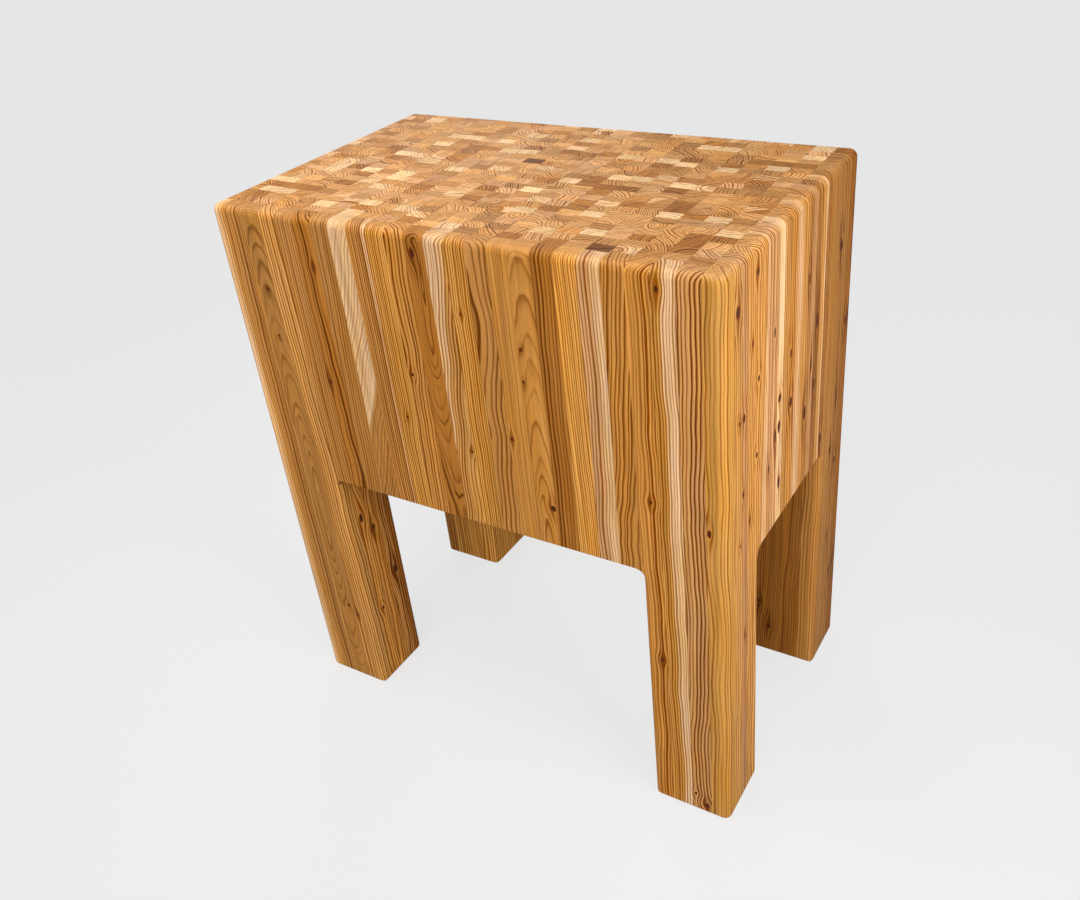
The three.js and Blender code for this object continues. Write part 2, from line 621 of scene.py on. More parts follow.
    def add_side(self, grid: Sequence[list[float]], axis: int, end: int, split: Optional[int],
                 corner: Callable[[Place], int], normals: dict[int, Optional[Vector]]) -> None:
        """Add one side of a stave: strips where it shows, one polygon where it is glued.

        Args:
            grid: The cuts along X, Y and Z.
            axis: The axis that the side faces along.
            end: 0 for the low end of that axis and 1 for the high end.
            split: The number of height strips that show, or None where all of them do.
            corner: Makes the point at a place of the grid.
            normals: The normals of the points on rounded edges.
        """
        first, second = (axis + 1) % 3, (axis + 2) % 3
        fixed = len(grid[axis]) - 1 if end else 0
        outward = Vector((0, 0, 0))
        outward[axis] = 2 * end - 1

        def place(a: int, b: int) -> Place:
            """Put the numbers of two cuts of this side in the order X, Y, Z.

            Args:
                a: Number of the cut along the first axis of the side.
                b: Number of the cut along the second axis of the side.

            Returns:
                The place on the grid.
            """
            numbers = [0, 0, 0]
            numbers[axis], numbers[first], numbers[second] = fixed, a, b
            return tuple(numbers)

        def spot(numbers: Place) -> Span:
            """Give the flat place of a point on this side."""
            flat = [grid[k][numbers[k]] for k in range(3) if k != axis]
            return flat[0], flat[1]

        def add(places: list[Place], group: str, bent: bool) -> None:
            """Add one polygon.

            Args:
                places: The places of the grid that it goes through.
                group: The cell of the colour map that it lies in.
                bent: Whether it follows the rounded edges.
            """
            if end == 0:
                places = places[::-1]
            corners = [corner(numbers) for numbers in places]
            facing = [outward] * len(corners)
            if bent:
                facing = [normals[number] or self.flat_normal(outward, number, axis) for number in corners]
            self.faces.append(Face(corners, facing, group, [spot(numbers) for numbers in places]))

        count_a, count_b = len(grid[first]) - 1, len(grid[second]) - 1
        tall_is_a = first == 2
        shown_a = split if tall_is_a and split is not None else count_a
        shown_b = count_b if tall_is_a or split is None else split
        group = f"{axis}{end}"
        if (axis, end) == (2, 1):
            group += "far" if grid[1][0] + grid[1][-1] > 0 else "near"
        for a in range(shown_a):
            for b in range(shown_b):
                add([place(a, b), place(a + 1, b), place(a + 1, b + 1), place(a, b + 1)], group, True)
        if split is None:
            return
        low_a = split if tall_is_a else 0
        low_b = 0 if tall_is_a else split
        border = [place(a, low_b) for a in range(low_a, count_a)]
        border += [place(count_a, b) for b in range(low_b, count_b)]
        border += [place(a, count_b) for a in range(count_a, low_a, -1)]
        border += [place(low_a, b) for b in range(count_b, low_b, -1)]
        self.hidden += 1
        add(border, f"glue{self.hidden}", False)

    def flat_normal(self, outward: Vector, number: int, axis: int) -> Vector:
        """Give the normal of a point that lies on no rounded edge.

        Args:
            outward: The direction that the side faces.
            number: The number of the point.
            axis: The axis that the side faces along.

        Returns:
            The side's own direction, or that of the fillet on the underside.
        """
        point = self.points[number]
        if axis == 2 and outward.z < 0 and point.z > TOUCH:
            return self.shape.underside_at(point.x, point.y)[1]
        return outward

    def layout(self) -> tuple[dict[str, Box], dict[str, list[float]]]:
        """Lay the sides out on the colour map: columns for what shows, small cells for what is glued.

        Returns:
            For each group of polygons, its cell as a corner, a width and a height; and for each
            group the two corners of the flat box that its polygons fill.
        """
        spans: dict[str, list[float]] = {}
        for face in self.faces:
            box = spans.setdefault(face.group, [math.inf, math.inf, -math.inf, -math.inf])
            for u, v in face.spots:
                box[:] = [min(box[0], u), min(box[1], v), max(box[2], u), max(box[3], v)]
        shown = sorted(group for group in spans if not group.startswith("glue"))
        narrow = {group: min(spans[group][2] - spans[group][0], spans[group][3] - spans[group][1])
                  for group in shown}
        total = sum(narrow.values())
        strip, margin = self.strip, self.margin
        cells, left = {}, 0.0
        for group in shown:
            wide = narrow[group] / total
            cells[group] = (left + margin, strip + margin, wide - 2 * margin, 1 - strip - 2 * margin)
            left += wide
        for number in range(self.hidden):
            wide = 1 / self.hidden
            start, size = (number + self.cell_gap) * wide, (1 - 2 * self.cell_gap) * wide
            cells[f"glue{number + 1}"] = (start, self.cell_foot, size, strip - 3 * self.cell_foot)
        return cells, spans

    def to_object(self, name: str) -> bpy.types.Object:
        """Make the Blender object with its normals and its colour map.

        Args:
            name: The object's name.

        Returns:
            The object, linked to the scene.
        """
        mesh = bpy.data.meshes.new(name)
        mesh.from_pydata([point * MM for point in self.points], [], [face.corners for face in self.faces])
        cells, spans = self.layout()
        chart = mesh.uv_layers.new(name=MAP_NAME)
        facing, number = [], 0
        for face in self.faces:
            left, low, wide, tall = cells[face.group]
            u0, v0, u1, v1 = spans[face.group]
            for (u, v), normal in zip(face.spots, face.normals):
                across, along = (u - u0) / (u1 - u0), (v - v0) / (v1 - v0)
                if u1 - u0 > v1 - v0:
                    across, along = along, across
                chart.data[number].uv = (left + wide * across, low + tall * along)
                facing.append(normal)
                number += 1
        mesh.polygons.foreach_set("use_smooth", [True] * len(self.faces))
        mesh.normals_split_custom_set(facing)
        mesh.update()
        piece = bpy.data.objects.new(name, mesh)
        bpy.context.collection.objects.link(piece)
        return piece


# The staves of the front, from left to right
FRONT_LOOKS = (
    StaveLook(Kind.TAN, Cut.QUARTER, turn=1, sap=6.0, sway=0.3, shade=1.04),
    StaveLook(Kind.BROWN, Cut.QUARTER, turn=1, sway=0.9, spacing=5.6, shade=0.93, bold=0.8),
    StaveLook(Kind.BROWN, Cut.FLAT, (Knot(1, 777, 2.8), Knot(1, 702, 2.4), Knot(4, 170, 3.4)), 0.9, 1,
              spacing=3.6, shade=0.77, bold=0.45),
    StaveLook(Kind.TAN, Cut.CORNER, (Knot(-13, 155, 3.0),), 0.8, 1, tilt=-0.02, spacing=3.8, shade=0.96,
              bold=0.8),
    StaveLook(Kind.BROWN, Cut.QUARTER, sway=0.6, spacing=4.8, shade=0.9, bold=0.7),
    StaveLook(Kind.DARK, Cut.RIFT, (Knot(7, 827, 2.6), Knot(-11, 640, 3.2, 1.8)), 1.4, spacing=5.0,
              shade=0.93, bold=0.8),
    StaveLook(Kind.BROWN, Cut.QUARTER, sway=0.8, turn=-1, tilt=0.03, spacing=5.0, shade=0.84, bold=0.8),
    StaveLook(Kind.BROWN, Cut.QUARTER, sway=2.0, turn=1, sap=14.0, tilt=0.34, spacing=6.0, shade=0.8,
              reach=130.0, bold=0.6),
    StaveLook(Kind.BROWN, Cut.QUARTER, sway=0.5, turn=-1, sap=13.0, spacing=4.0, shade=1.02),
    StaveLook(Kind.GOLDEN, Cut.QUARTER, (Knot(-1, 610, 2.2),), 0.5, spacing=3.6, shade=0.94),
    StaveLook(Kind.ORANGE, Cut.RIFT, (Knot(-8, 685, 2.8),), 1.4, -1, tilt=0.03, spacing=4.6, shade=0.96),
    StaveLook(Kind.DARK, Cut.FLAT, (Knot(-4, 872, 5.0, 2.0),), 1.5, -1, spacing=3.8, shade=0.88, bold=0.5),
    StaveLook(Kind.TAN, Cut.RIFT, (Knot(12, 577, 2.4),), 1.6, 1, -8.0, 0.06, 4.2, 0.86),
    StaveLook(Kind.GOLDEN, Cut.QUARTER, (Knot(-4, 795, 2.2),), 0.7, spacing=3.8, shade=0.94),
    StaveLook(Kind.BROWN, Cut.RIFT, sway=2.4, turn=-1, tilt=0.05, spacing=5.2, shade=0.9, bold=0.75),
    StaveLook(Kind.ORANGE, Cut.QUARTER, (Knot(-12, 616, 3.2),), 0.5, spacing=4.6, shade=0.88, bold=0.55),
    StaveLook(Kind.ORANGE, Cut.FLAT, (Knot(-12, 760, 2.6), Knot(-14, 712, 2.4), Knot(11, 515, 5.5, 1.1)),
              0.4, 1, spacing=4.2, shade=0.86, bold=0.5),
    StaveLook(Kind.DARK, Cut.QUARTER, sway=0.7, turn=-1, spacing=5.6, shade=0.85, bold=0.85),
    StaveLook(Kind.GOLDEN, Cut.QUARTER, sway=0.5, turn=1, tilt=-0.02, spacing=3.4, shade=1.1, bold=0.7),
    StaveLook(Kind.PINK, Cut.QUARTER, sway=1.0, turn=-1, sap=2.0, spacing=5.0, shade=0.88),
    StaveLook(Kind.ORANGE, Cut.RIFT, sway=2.2, tilt=0.07, spacing=4.8, shade=0.86),
    StaveLook(Kind.ORANGE, Cut.CORNER, (Knot(3, 570, 3.0), Knot(9, 295, 3.4)), 1.0, -1, spacing=3.6,
              shade=1.02, bold=0.75),
    StaveLook(Kind.GOLDEN, Cut.QUARTER, (Knot(-8, 875, 3.4, 1.8),), 1.0, -1, -2.0, spacing=4.2, shade=0.89),
    StaveLook(Kind.STRIPED, Cut.RIFT, (Knot(8, 16, 5.0, 1.2), Knot(-9, 35, 3.0)), 1.4, spacing=5.2,
              shade=0.87, bold=0.85),
    StaveLook(Kind.GOLDEN, Cut.CORNER, (Knot(-10, 544, 3.4, 2.2),), 1.3, 1, spacing=4.8, shade=0.8,
              bold=0.65),
)

# The staves of the right side, from front to back
RIGHT_LOOKS = (
    FRONT_LOOKS[-1],
    StaveLook(Kind.TAN, Cut.RIFT, (Knot(-2, 842, 7.0, 1.5), Knot(4, 500, 2.6), Knot(2, 690, 3.0)), 0.9,
              shade=0.92),
    StaveLook(Kind.PINK, Cut.QUARTER, (Knot(-4, 690, 5.0, 1.6), Knot(-6, 577, 3.4, 1.8), Knot(2, 330, 3.0)),
              0.7),
    StaveLook(Kind.TAN, Cut.RIFT, (Knot(-4, 520, 3.4), Knot(3, 780, 3.0)), 0.9, shade=1.02),
    StaveLook(Kind.TAN, Cut.CORNER, (Knot(-3, 868, 4.6), Knot(3, 722, 4.0), Knot(-2, 610, 4.0)), 0.9, 1,
              shade=1.08),
    StaveLook(Kind.TAN, Cut.QUARTER, sway=0.8, turn=-1, sap=3.0, tilt=0.04, shade=1.08),
    StaveLook(Kind.PINK, Cut.QUARTER, (Knot(2, 560, 3.4, 2.4),), 0.6, 1, -3.0),
    StaveLook(Kind.PINK, Cut.RIFT, (Knot(5, 600, 4.0, 3.4), Knot(-3, 760, 3.0, 3.0)), 0.8, shade=0.94),
    StaveLook(Kind.CREAM, Cut.QUARTER, (Knot(0, 652, 6.4, 1.2), Knot(-1, 608, 5.6, 2.0),
                                        Knot(2, 515, 5.0, 2.4)), 0.7),
    StaveLook(Kind.TAN, Cut.RIFT, sway=0.9, shade=0.98),
    StaveLook(Kind.ORANGE, Cut.RIFT, (Knot(2, 622, 6.4, 1.5), Knot(-2, 700, 3.4, 2.4)), 0.9, shade=1.05),
    StaveLook(Kind.PINK, Cut.QUARTER, sway=0.8, turn=-1, sap=2.0, shade=1.0),
    StaveLook(Kind.TAN, Cut.QUARTER, sway=0.8, turn=1, sap=-4.0, shade=1.0),
    StaveLook(Kind.BROWN, Cut.RIFT, (Knot(0, 572, 6.6, 2.2), Knot(3, 780, 3.6, 3.0)), 0.9, shade=1.05),
    StaveLook(Kind.PINK, Cut.QUARTER, (Knot(2, 640, 3.6, 4.0),), 0.8, shade=0.94),
    StaveLook(Kind.BROWN, Cut.RIFT, (Knot(3, 700, 6.0, 2.6), Knot(-2, 600, 4.0, 3.0)), 0.9, shade=0.95),
    StaveLook(Kind.TAN, Cut.QUARTER, sway=0.8, turn=-1, sap=4.0, shade=1.0),
    StaveLook(Kind.BROWN, Cut.RIFT, (Knot(0, 480, 5.0, 3.0),), 0.9, shade=0.96),
    StaveLook(Kind.BROWN, Cut.CORNER, sway=0.5, turn=-1, spacing=4.0, shade=0.9, bold=0.6),
    StaveLook(Kind.TAN, Cut.QUARTER, sway=0.8, shade=0.84),
    StaveLook(Kind.BROWN, Cut.RIFT, (Knot(1, 775, 9.0, 1.3), Knot(4, 250, 4.0), Knot(-5, 430, 5.0, 2.0)),
              1.0, shade=0.9),
    StaveLook(Kind.BROWN, Cut.QUARTER, (Knot(0, 396, 6.0), Knot(-4, 520, 4.0, 2.0), Knot(3, 160, 4.0)),
              0.9, shade=0.84),
    StaveLook(Kind.DARK, Cut.CORNER, (Knot(0, 640, 4.4, 2.0), Knot(2, 170, 5.0, 2.0)), 0.9, 1, shade=0.9),
)

# The inner face of the front left leg, from front to back, past the stave at its corner
INNER_LOOKS = (
    StaveLook(Kind.ORANGE, Cut.RIFT, (Knot(0, 152, 3.4), Knot(-4, 352, 5.0, 2.0)), 1.2, shade=1.1),
    StaveLook(Kind.ORANGE, Cut.RIFT, (Knot(-3, 318, 4.6, 1.6),), 1.4, shade=1.06),
    StaveLook(Kind.BROWN, Cut.RIFT, (Knot(4, 205, 6.4, 1.8),), 1.4, shade=1.1),
    StaveLook(Kind.DARK, Cut.CORNER, sway=1.0, turn=1, shade=1.06),
)

# The front face of the back right leg, from left to right, in dark tones and low shades that paint the shade
# under the block
PAINTED_SHADE_LOOKS = (
    StaveLook(Kind.DARK, Cut.CORNER, (Knot(8, 111, 4.4, 1.6),), 1.4, -1, tilt=0.04, shade=0.7, bold=0.5),
    StaveLook(Kind.DARK, Cut.RIFT, (Knot(-5, 59, 4.8, 1.8),), 1.4, -1, tilt=0.05, shade=0.68, bold=0.5),
    StaveLook(Kind.DARK, Cut.RIFT, sway=0.8, turn=-1, tilt=0.04, shade=0.72, bold=0.5),
)

# Ends that stand out on the worktop: the lamella from the left, the distance from the front and the tone
TOP_LOOKS = (
    (12, 300, Kind.UMBER), (18, 328, Kind.DARK), (21, 189, Kind.DARK), (20, 28, Kind.UMBER),
    (9, 162, Kind.DARK), (3, 459, Kind.CREAM), (10, 343, Kind.CREAM), (7, 262, Kind.CREAM),
    (19, 347, Kind.CREAM), (19, 70, Kind.CREAM), (22, 446, Kind.CREAM), (23, 370, Kind.CREAM),
    (24, 430, Kind.CREAM), (24, 132, Kind.CREAM), (24, 115, Kind.STRIPED), (24, 58, Kind.PINK),
    (2, 119, Kind.CREAM), (2, 81, Kind.CREAM), (8, 47, Kind.CREAM), (10, 66, Kind.CREAM),
    (20, 70, Kind.PINK),
)

# The tones of the other staves and how often each turns up
COMMON_KINDS = (
    (Kind.TAN, 36), (Kind.BROWN, 20), (Kind.PINK, 16), (Kind.ORANGE, 10), (Kind.CREAM, 8), (Kind.DARK, 10),
)

# Mostly dark tones for the faces under the block that face back, which paint the shade there
PAINTED_SHADE_KINDS = ((Kind.BROWN, 20), (Kind.DARK, 80))

WARM_KINDS = ((Kind.ORANGE, 40), (Kind.GOLDEN, 60))


@dataclass(frozen=True)
class DrawnWood:
    """What the wood of a stave is drawn from where no look is chosen for it, in millimetres.

    Attributes:
        depth: How deep a stave is.
        knot_counts: How many knots may show on a face.
        knot_weights: How often each of these turns up.
        knot_across: Where a knot lies along the face.
        knot_height: How high it lies above the floor.
        knot_radius: Half of its width.
        knot_stretch: How many times it is taller than wide.
        cuts: The cuts that a stave on a face may have.
        cut_weights: How often each of these turns up.
        plain_weights: How often each of these turns up on the legs' inner faces.
        sap_share: How often a stave on a face has sapwood.
        sap_start: Where the sapwood starts.
        face_sway: How much the lines on a face wander.
        face_tilt: How far they slant for each millimetre of height.
        face_shade: How light a stave on a face is.
        arch_bold: How much drawn arches stand out.
        pith_reaches: How far the pith may lie from the middle of a stave that shows only its ends.
        pith_weights: How often each of these turns up.
        end_lean: How far that pith leans.
        end_shade: How light that stave is.
        end_sway: How much its pith wanders.
        end_sap_share: How often it has sapwood.
        end_spacing: How much wider its rings are than those of its tone.
    """

    depth: Span = (18.8, 21.6)
    knot_counts: tuple[int, ...] = (0, 1, 2)
    knot_weights: tuple[int, ...] = (50, 38, 12)
    knot_across: Span = (-8.0, 8.0)
    knot_height: Span = (60.0, 860.0)
    knot_radius: Span = (2.0, 3.6)
    knot_stretch: Span = (1.2, 2.0)
    cuts: tuple[Cut, ...] = (Cut.QUARTER, Cut.RIFT, Cut.FLAT)
    cut_weights: tuple[int, ...] = (40, 45, 15)
    plain_weights: tuple[int, ...] = (40, 45, 0)
    sap_share: float = 0.25
    sap_start: Span = (-10.0, 14.0)
    face_sway: Span = (0.3, 1.4)
    face_tilt: Span = (-0.03, 0.03)
    face_shade: Span = (0.94, 1.04)
    arch_bold: float = 0.5
    pith_reaches: tuple[Span, ...] = ((8.0, 25.0), (25.0, 70.0), (70.0, 160.0))
    pith_weights: tuple[int, ...] = (20, 60, 20)
    end_lean: Span = (-0.03, 0.03)
    end_shade: Span = (0.8, 1.16)
    end_sway: Span = (0.6, 1.8)
    end_sap_share: float = 0.06
    end_spacing: Span = (0.8, 1.4)


@dataclass
class StaveYard:
    """Saws the staves of the block, each with its own wood, the same way on every run.

    Attributes:
        shape: The outside of the block.
        wood: What the wood of a stave without a chosen look is drawn from.
        seed: What its chances start from.
        usual_depth: The usual depth of a stave, in millimetres.
        away: A distance in millimetres that no part of the block reaches.
        inward_sway: How much the pith wanders into the wood, next to its wandering along the face.
        slant: How far the lines on a face slant by chance for each millimetre of height.
        arch_thin: How thin the dark part of a ring is on a face with arches.
        close_spacing: The width of a ring below which the rings stand out more, in millimetres.
        close_gain: How much more they stand out for each millimetre.
    """

    shape: BlockShape
    wood: DrawnWood = DrawnWood()
    seed: int = 41
    usual_depth: float = 20.2
    away: float = 5000.0
    inward_sway: float = 0.6
    slant: Span = (-0.008, 0.008)
    arch_thin: float = 1.9
    close_spacing: float = 4.6
    close_gain: float = 0.3

    def __post_init__(self) -> None:
        """Start its chances."""
        self.chance = random.Random(self.seed)

    def depth_joints(self, low: float, high: float, first: float, last: float) -> list[float]:
        """Choose where the staves of a slab meet, from front to back.

        Args:
            low: Front end of the slab.
            high: Back end of the slab.
            first: Depth of the front stave.
            last: Depth of the back stave.

        Returns:
            The places of the joints with both ends, in order.
        """
        inner = high - low - first - last
        count = max(round(inner / self.usual_depth), 1)
        depths = [self.chance.uniform(*self.wood.depth) for _ in range(count)]
        scale = inner / sum(depths)
        places = [low, low + first]
        for depth in depths:
            places.append(places[-1] + depth * scale)
        return [*places, high]

    def draw_kind(self, shares: Sequence[tuple[Kind, int]] = COMMON_KINDS) -> Kind:
        """Draw a tone.

        Args:
            shares: The tones and how often each turns up.

        Returns:
            The tone.
        """
        kinds, weights = zip(*shares)
        return self.chance.choices(kinds, weights)[0]

    def common_look(self, corner: int, shares: Sequence[tuple[Kind, int]] = COMMON_KINDS) -> StaveLook:
        """Draw the wood of a stave that shows on a face with no particular stave.

        Args:
            corner: The end of the stave along the face that is a corner, -1 or 1, or 0 for none.
            shares: The tones that it may have and how often each turns up.

        Returns:
            The wood.
        """
        draw, choose, wood = self.chance.uniform, self.chance.choices, self.wood
        is_common = shares is COMMON_KINDS
        knots = tuple(
            Knot(draw(*wood.knot_across), draw(*wood.knot_height), draw(*wood.knot_radius),
                 draw(*wood.knot_stretch))
            for _ in range(choose(wood.knot_counts, wood.knot_weights)[0])
        )
        sap = draw(*wood.sap_start) if self.chance.random() < wood.sap_share and is_common else None
        cut = choose(wood.cuts, wood.cut_weights if is_common else wood.plain_weights)[0]
        cut = Cut.CORNER if corner else cut
        return StaveLook(self.draw_kind(shares), cut, knots, draw(*wood.face_sway), corner, sap,
                         draw(*wood.face_tilt), shade=draw(*wood.face_shade),
                         bold=wood.arch_bold if cut is Cut.FLAT else 1.0)

    def pith_for(self, look: StaveLook, side: Side, x: Span, y: Span) -> tuple[Span, Span, float]:
        """Place the pith so that a face shows the lines of its cut.

        Args:
            look: The wood of the stave.
            side: The face that shows.
            x: The stave's ends along the width.
            y: The stave's ends along the depth.

        Returns:
            The pith's place, how far it leans for each millimetre of height, and the radius at
            which the sapwood starts.
        """
        draw = self.chance.uniform
        out_x, out_y = side.value
        along_x, along_y = abs(out_y), abs(out_x)
        turn = look.turn or self.chance.choice((-1, 1))
        inward = self.chance.choice((-1, 1))
        arch = draw(0.075, 0.1)
        # Along the face, into the wood and lean of the pith. Each stave draws for every cut, so that
        # its own cut leaves the wood of the staves after it as it is.
        across, depth, slope = {
            Cut.QUARTER: (draw(60, 140), draw(-20, 20), draw(-0.012, 0.012)),
            Cut.RIFT: (draw(30, 60), draw(18, 46), draw(-0.03, 0.03)),
            Cut.CORNER: (draw(48, 60), inward * draw(56, 70), draw(-0.01, 0.01)),
            Cut.FLAT: (draw(-4, 4), draw(240, 300) * arch, -turn * inward * arch),
        }[look.cut]
        across = look.reach or across
        pith = (sum(x) / 2 + out_x * ((x[1] - x[0]) / 2 - inward * depth) + along_x * turn * across,
                sum(y) / 2 + out_y * ((y[1] - y[0]) / 2 - inward * depth) + along_y * turn * across)
        slant = look.tilt + draw(*self.slant)
        lean = (out_x * slope + along_x * slant, out_y * slope + along_y * slant)
        sap = self.away if look.sap is None else math.hypot(turn * across - look.sap, depth)
        return pith, lean, sap

    def saw(self, x: Span, y: Span, is_long: bool, look: Optional[StaveLook] = None,
            side: Optional[Side] = None, kind: Optional[Kind] = None) -> Stave:
        """Make one stave.

        Args:
            x: Its ends along the width.
            y: Its ends along the depth.
            is_long: Whether it is part of a leg.
            look: Its wood, if it shows on an upright face.
            side: The face that it shows on.
            kind: Its tone, if the worktop shows a particular one there.

        Returns:
            The stave.
        """
        draw, shape, wood = self.chance.uniform, self.shape, self.wood
        middle_x, middle_y = sum(x) / 2, sum(y) / 2
        knots = []
        if look and side:
            pith, lean, sap = self.pith_for(look, side, x, y)
            tone, shade = look.kind, look.shade
            along_y = 1.0 if side in (Side.LEFT, Side.RIGHT) else 0.0
            inward = look.sway * (1.0 if look.cut is Cut.FLAT else self.inward_sway)
            sway = (inward, look.sway) if along_y else (look.sway, inward)
            for knot in look.knots:
                spot = (middle_x + (1 - along_y) * knot.across, middle_y + along_y * knot.across, knot.height)
                knots.append((spot, (knot.radius, knot.stretch, along_y)))
            spacing = look.spacing or draw(*tone.value.spacing)
        else:
            angle = draw(0, 2 * math.pi)
            reaches = [draw(*span) for span in wood.pith_reaches]
            reach = self.chance.choices(reaches, wood.pith_weights)[0]
            pith = (middle_x + reach * math.cos(angle), middle_y + reach * math.sin(angle))
            lean = (draw(*wood.end_lean), draw(*wood.end_lean))
            tone, shade = kind or self.draw_kind(), draw(*wood.end_shade)
            sway = (draw(*wood.end_sway), draw(*wood.end_sway))
            has_sap = self.chance.random() < wood.end_sap_share and not kind
            sap = reach + draw(*wood.sap_start) if has_sap else self.away
            spacing = draw(*tone.value.spacing) * draw(*wood.end_spacing)
        open_x, open_y = shape.open_x(x, is_long), shape.open_y(y, is_long)
        joints = (
            x[0] - self.away * (open_x < 0), x[1] + self.away * (open_x > 0),
            y[0] - self.away * (open_y < 0), y[1] + self.away * (open_y > 0),
        )
        thin = self.arch_thin if look and look.cut is Cut.FLAT else 0.25 * spacing - 0.1
        contrast = tone.value.contrast * (1 + self.close_gain * max(self.close_spacing - spacing, 0.0))
        contrast *= look.bold if look else 1.0
        return Stave(x, y, is_long, tone, pith, lean, spacing, thin, contrast, sway, draw(0, 100), shade, sap,
                     joints, knots)


class NodeSheet:
    """Adds shader nodes to a material or a world and links them."""

    def __init__(self, owner: Union[bpy.types.Material, bpy.types.World]) -> None:
        """Start an empty sheet.

        Args:
            owner: The material or world that the nodes belong to.
        """
        owner.use_nodes = True
        self.tree = owner.node_tree
        self.tree.nodes.clear()

    def add(self, kind: str, **settings: str) -> bpy.types.Node:
        """Add a node.

        Args:
            kind: The node's type.
            **settings: Its settings by name.

        Returns:
            The node.
        """
        node = self.tree.nodes.new(kind)
        for name, value in settings.items():
            setattr(node, name, value)
        return node

    def feed(self, target: bpy.types.NodeSocket, source: object) -> None:
        """Link a socket, or set its constant.

        Args:
            target: The input socket.
            source: An output socket, or a number, vector or colour.
        """
        if isinstance(source, bpy.types.NodeSocket):
            self.tree.links.new(source, target)
        else:
            target.default_value = source

    def math(self, operation: str, *inputs: Socket) -> bpy.types.NodeSocket:
        """Add a Math node.

        Args:
            operation: What it does.
            *inputs: Its sockets or numbers.

        Returns:
            Its output.
        """
        node = self.add("ShaderNodeMath", operation=operation)
        for target, source in zip(node.inputs, inputs):
            self.feed(target, source)
        return node.outputs[0]

    def times(self, first: Socket, second: Socket) -> bpy.types.NodeSocket:
        """Multiply two numbers."""
        return self.math("MULTIPLY", first, second)

    def minus(self, first: Socket, second: Socket) -> bpy.types.NodeSocket:
        """Take the second number from the first."""
        return self.math("SUBTRACT", first, second)

    def line(self, value: Socket, slope: Socket, start: Socket) -> bpy.types.NodeSocket:
        """Multiply a number by a slope and add a start."""
        return self.math("MULTIPLY_ADD", value, slope, start)

    def length(self, first: Socket, second: Socket) -> bpy.types.NodeSocket:
        """Find the length of a flat vector from its two parts."""
        return self.math("SQRT", self.line(first, first, self.times(second, second)))

    def vector(self, operation: str, *inputs: object) -> bpy.types.NodeSocket:
        """Add a Vector Math node and return its vector.

        Args:
            operation: What it does.
            *inputs: Its sockets or vectors.

        Returns:
            Its output.
        """
        node = self.add("ShaderNodeVectorMath", operation=operation)
        for target, source in zip(node.inputs, inputs):
            self.feed(target, source)
        return node.outputs[0]

    def split(self, source: bpy.types.NodeSocket) -> list[bpy.types.NodeSocket]:
        """Take a vector apart.

        Args:
            source: The vector.

        Returns:
            Its three parts.
        """
        node = self.add("ShaderNodeSeparateXYZ")
        self.feed(node.inputs[0], source)
        return list(node.outputs)

    def pack(self, x: Socket, y: Socket, z: Socket) -> bpy.types.NodeSocket:
        """Put a vector together.

        Args:
            x: Its first part.
            y: Its second part.
            z: Its third part.

        Returns:
            The vector.
        """
        node = self.add("ShaderNodeCombineXYZ")
        for target, source in zip(node.inputs, (x, y, z)):
            self.feed(target, source)
        return node.outputs[0]

    def attribute(self, name: str) -> bpy.types.NodeSocket:
        """Read a vector that the mesh carries.

        Args:
            name: The vector's name.

        Returns:
            The vector.
        """
        return self.add("ShaderNodeAttribute", attribute_name=name).outputs["Vector"]

    def noise(self, place: bpy.types.NodeSocket, scale: Triple, detail: float = 2.0,
              rough: float = 0.5) -> bpy.types.NodeSocket:
        """Add noise in space.

        Args:
            place: Where it is read.
            scale: How many grains it has for each unit of length along X, Y and Z.
            detail: How many finer layers it has.
            rough: How strong they are.

        Returns:
            The noise, from 0 to 1.
        """
        node = self.add("ShaderNodeTexNoise")
        grains = self.vector("MULTIPLY", place, scale)
        for name, source in (("Vector", grains), ("Scale", 1.0), ("Detail", detail), ("Roughness", rough)):
            self.feed(node.inputs[name], source)
        return node.outputs[0]

    def line_noise(self, place: bpy.types.NodeSocket, detail: float = 1.0) -> bpy.types.NodeSocket:
        """Add noise along a line, about 0.

        Args:
            place: Where it is read, in units of its grain.
            detail: How many finer layers it has.

        Returns:
            The noise, from about -1 to 1.
        """
        node = self.add("ShaderNodeTexNoise", noise_dimensions="1D")
        for name, source in (("W", place), ("Scale", 1.0), ("Detail", detail)):
            self.feed(node.inputs[name], source)
        return self.line(node.outputs[0], 2.0, -1.0)

    def chance(self, place: bpy.types.NodeSocket) -> bpy.types.NodeSocket:
        """Give an even random number for each value.

        Args:
            place: The value.

        Returns:
            The number, from 0 to 1.
        """
        node = self.add("ShaderNodeTexWhiteNoise", noise_dimensions="1D")
        self.feed(node.inputs["W"], place)
        return node.outputs[0]

    def ease(self, value: Socket, start: Socket, end: Socket) -> bpy.types.NodeSocket:
        """Go smoothly from 0 at start to 1 at end.

        Args:
            value: What is tested.
            start: Where the result is 0.
            end: Where the result is 1.

        Returns:
            The result.
        """
        node = self.add("ShaderNodeMapRange", interpolation_type="SMOOTHSTEP")
        for name, source in (("Value", value), ("From Min", start), ("From Max", end)):
            self.feed(node.inputs[name], source)
        return node.outputs[0]

    def mix(self, share: Socket, first: object, second: object, mode: str = "MIX") -> bpy.types.NodeSocket:
        """Mix two colours.

        Args:
            share: How much of the second there is.
            first: The first colour.
            second: The second colour.
            mode: How they mix.

        Returns:
            The mixed colour.
        """
        node = self.add("ShaderNodeMix", data_type="RGBA", blend_type=mode)
        self.feed(node.inputs[0], share)
        self.feed(node.inputs[6], first)
        self.feed(node.inputs[7], second)
        return node.outputs[2]

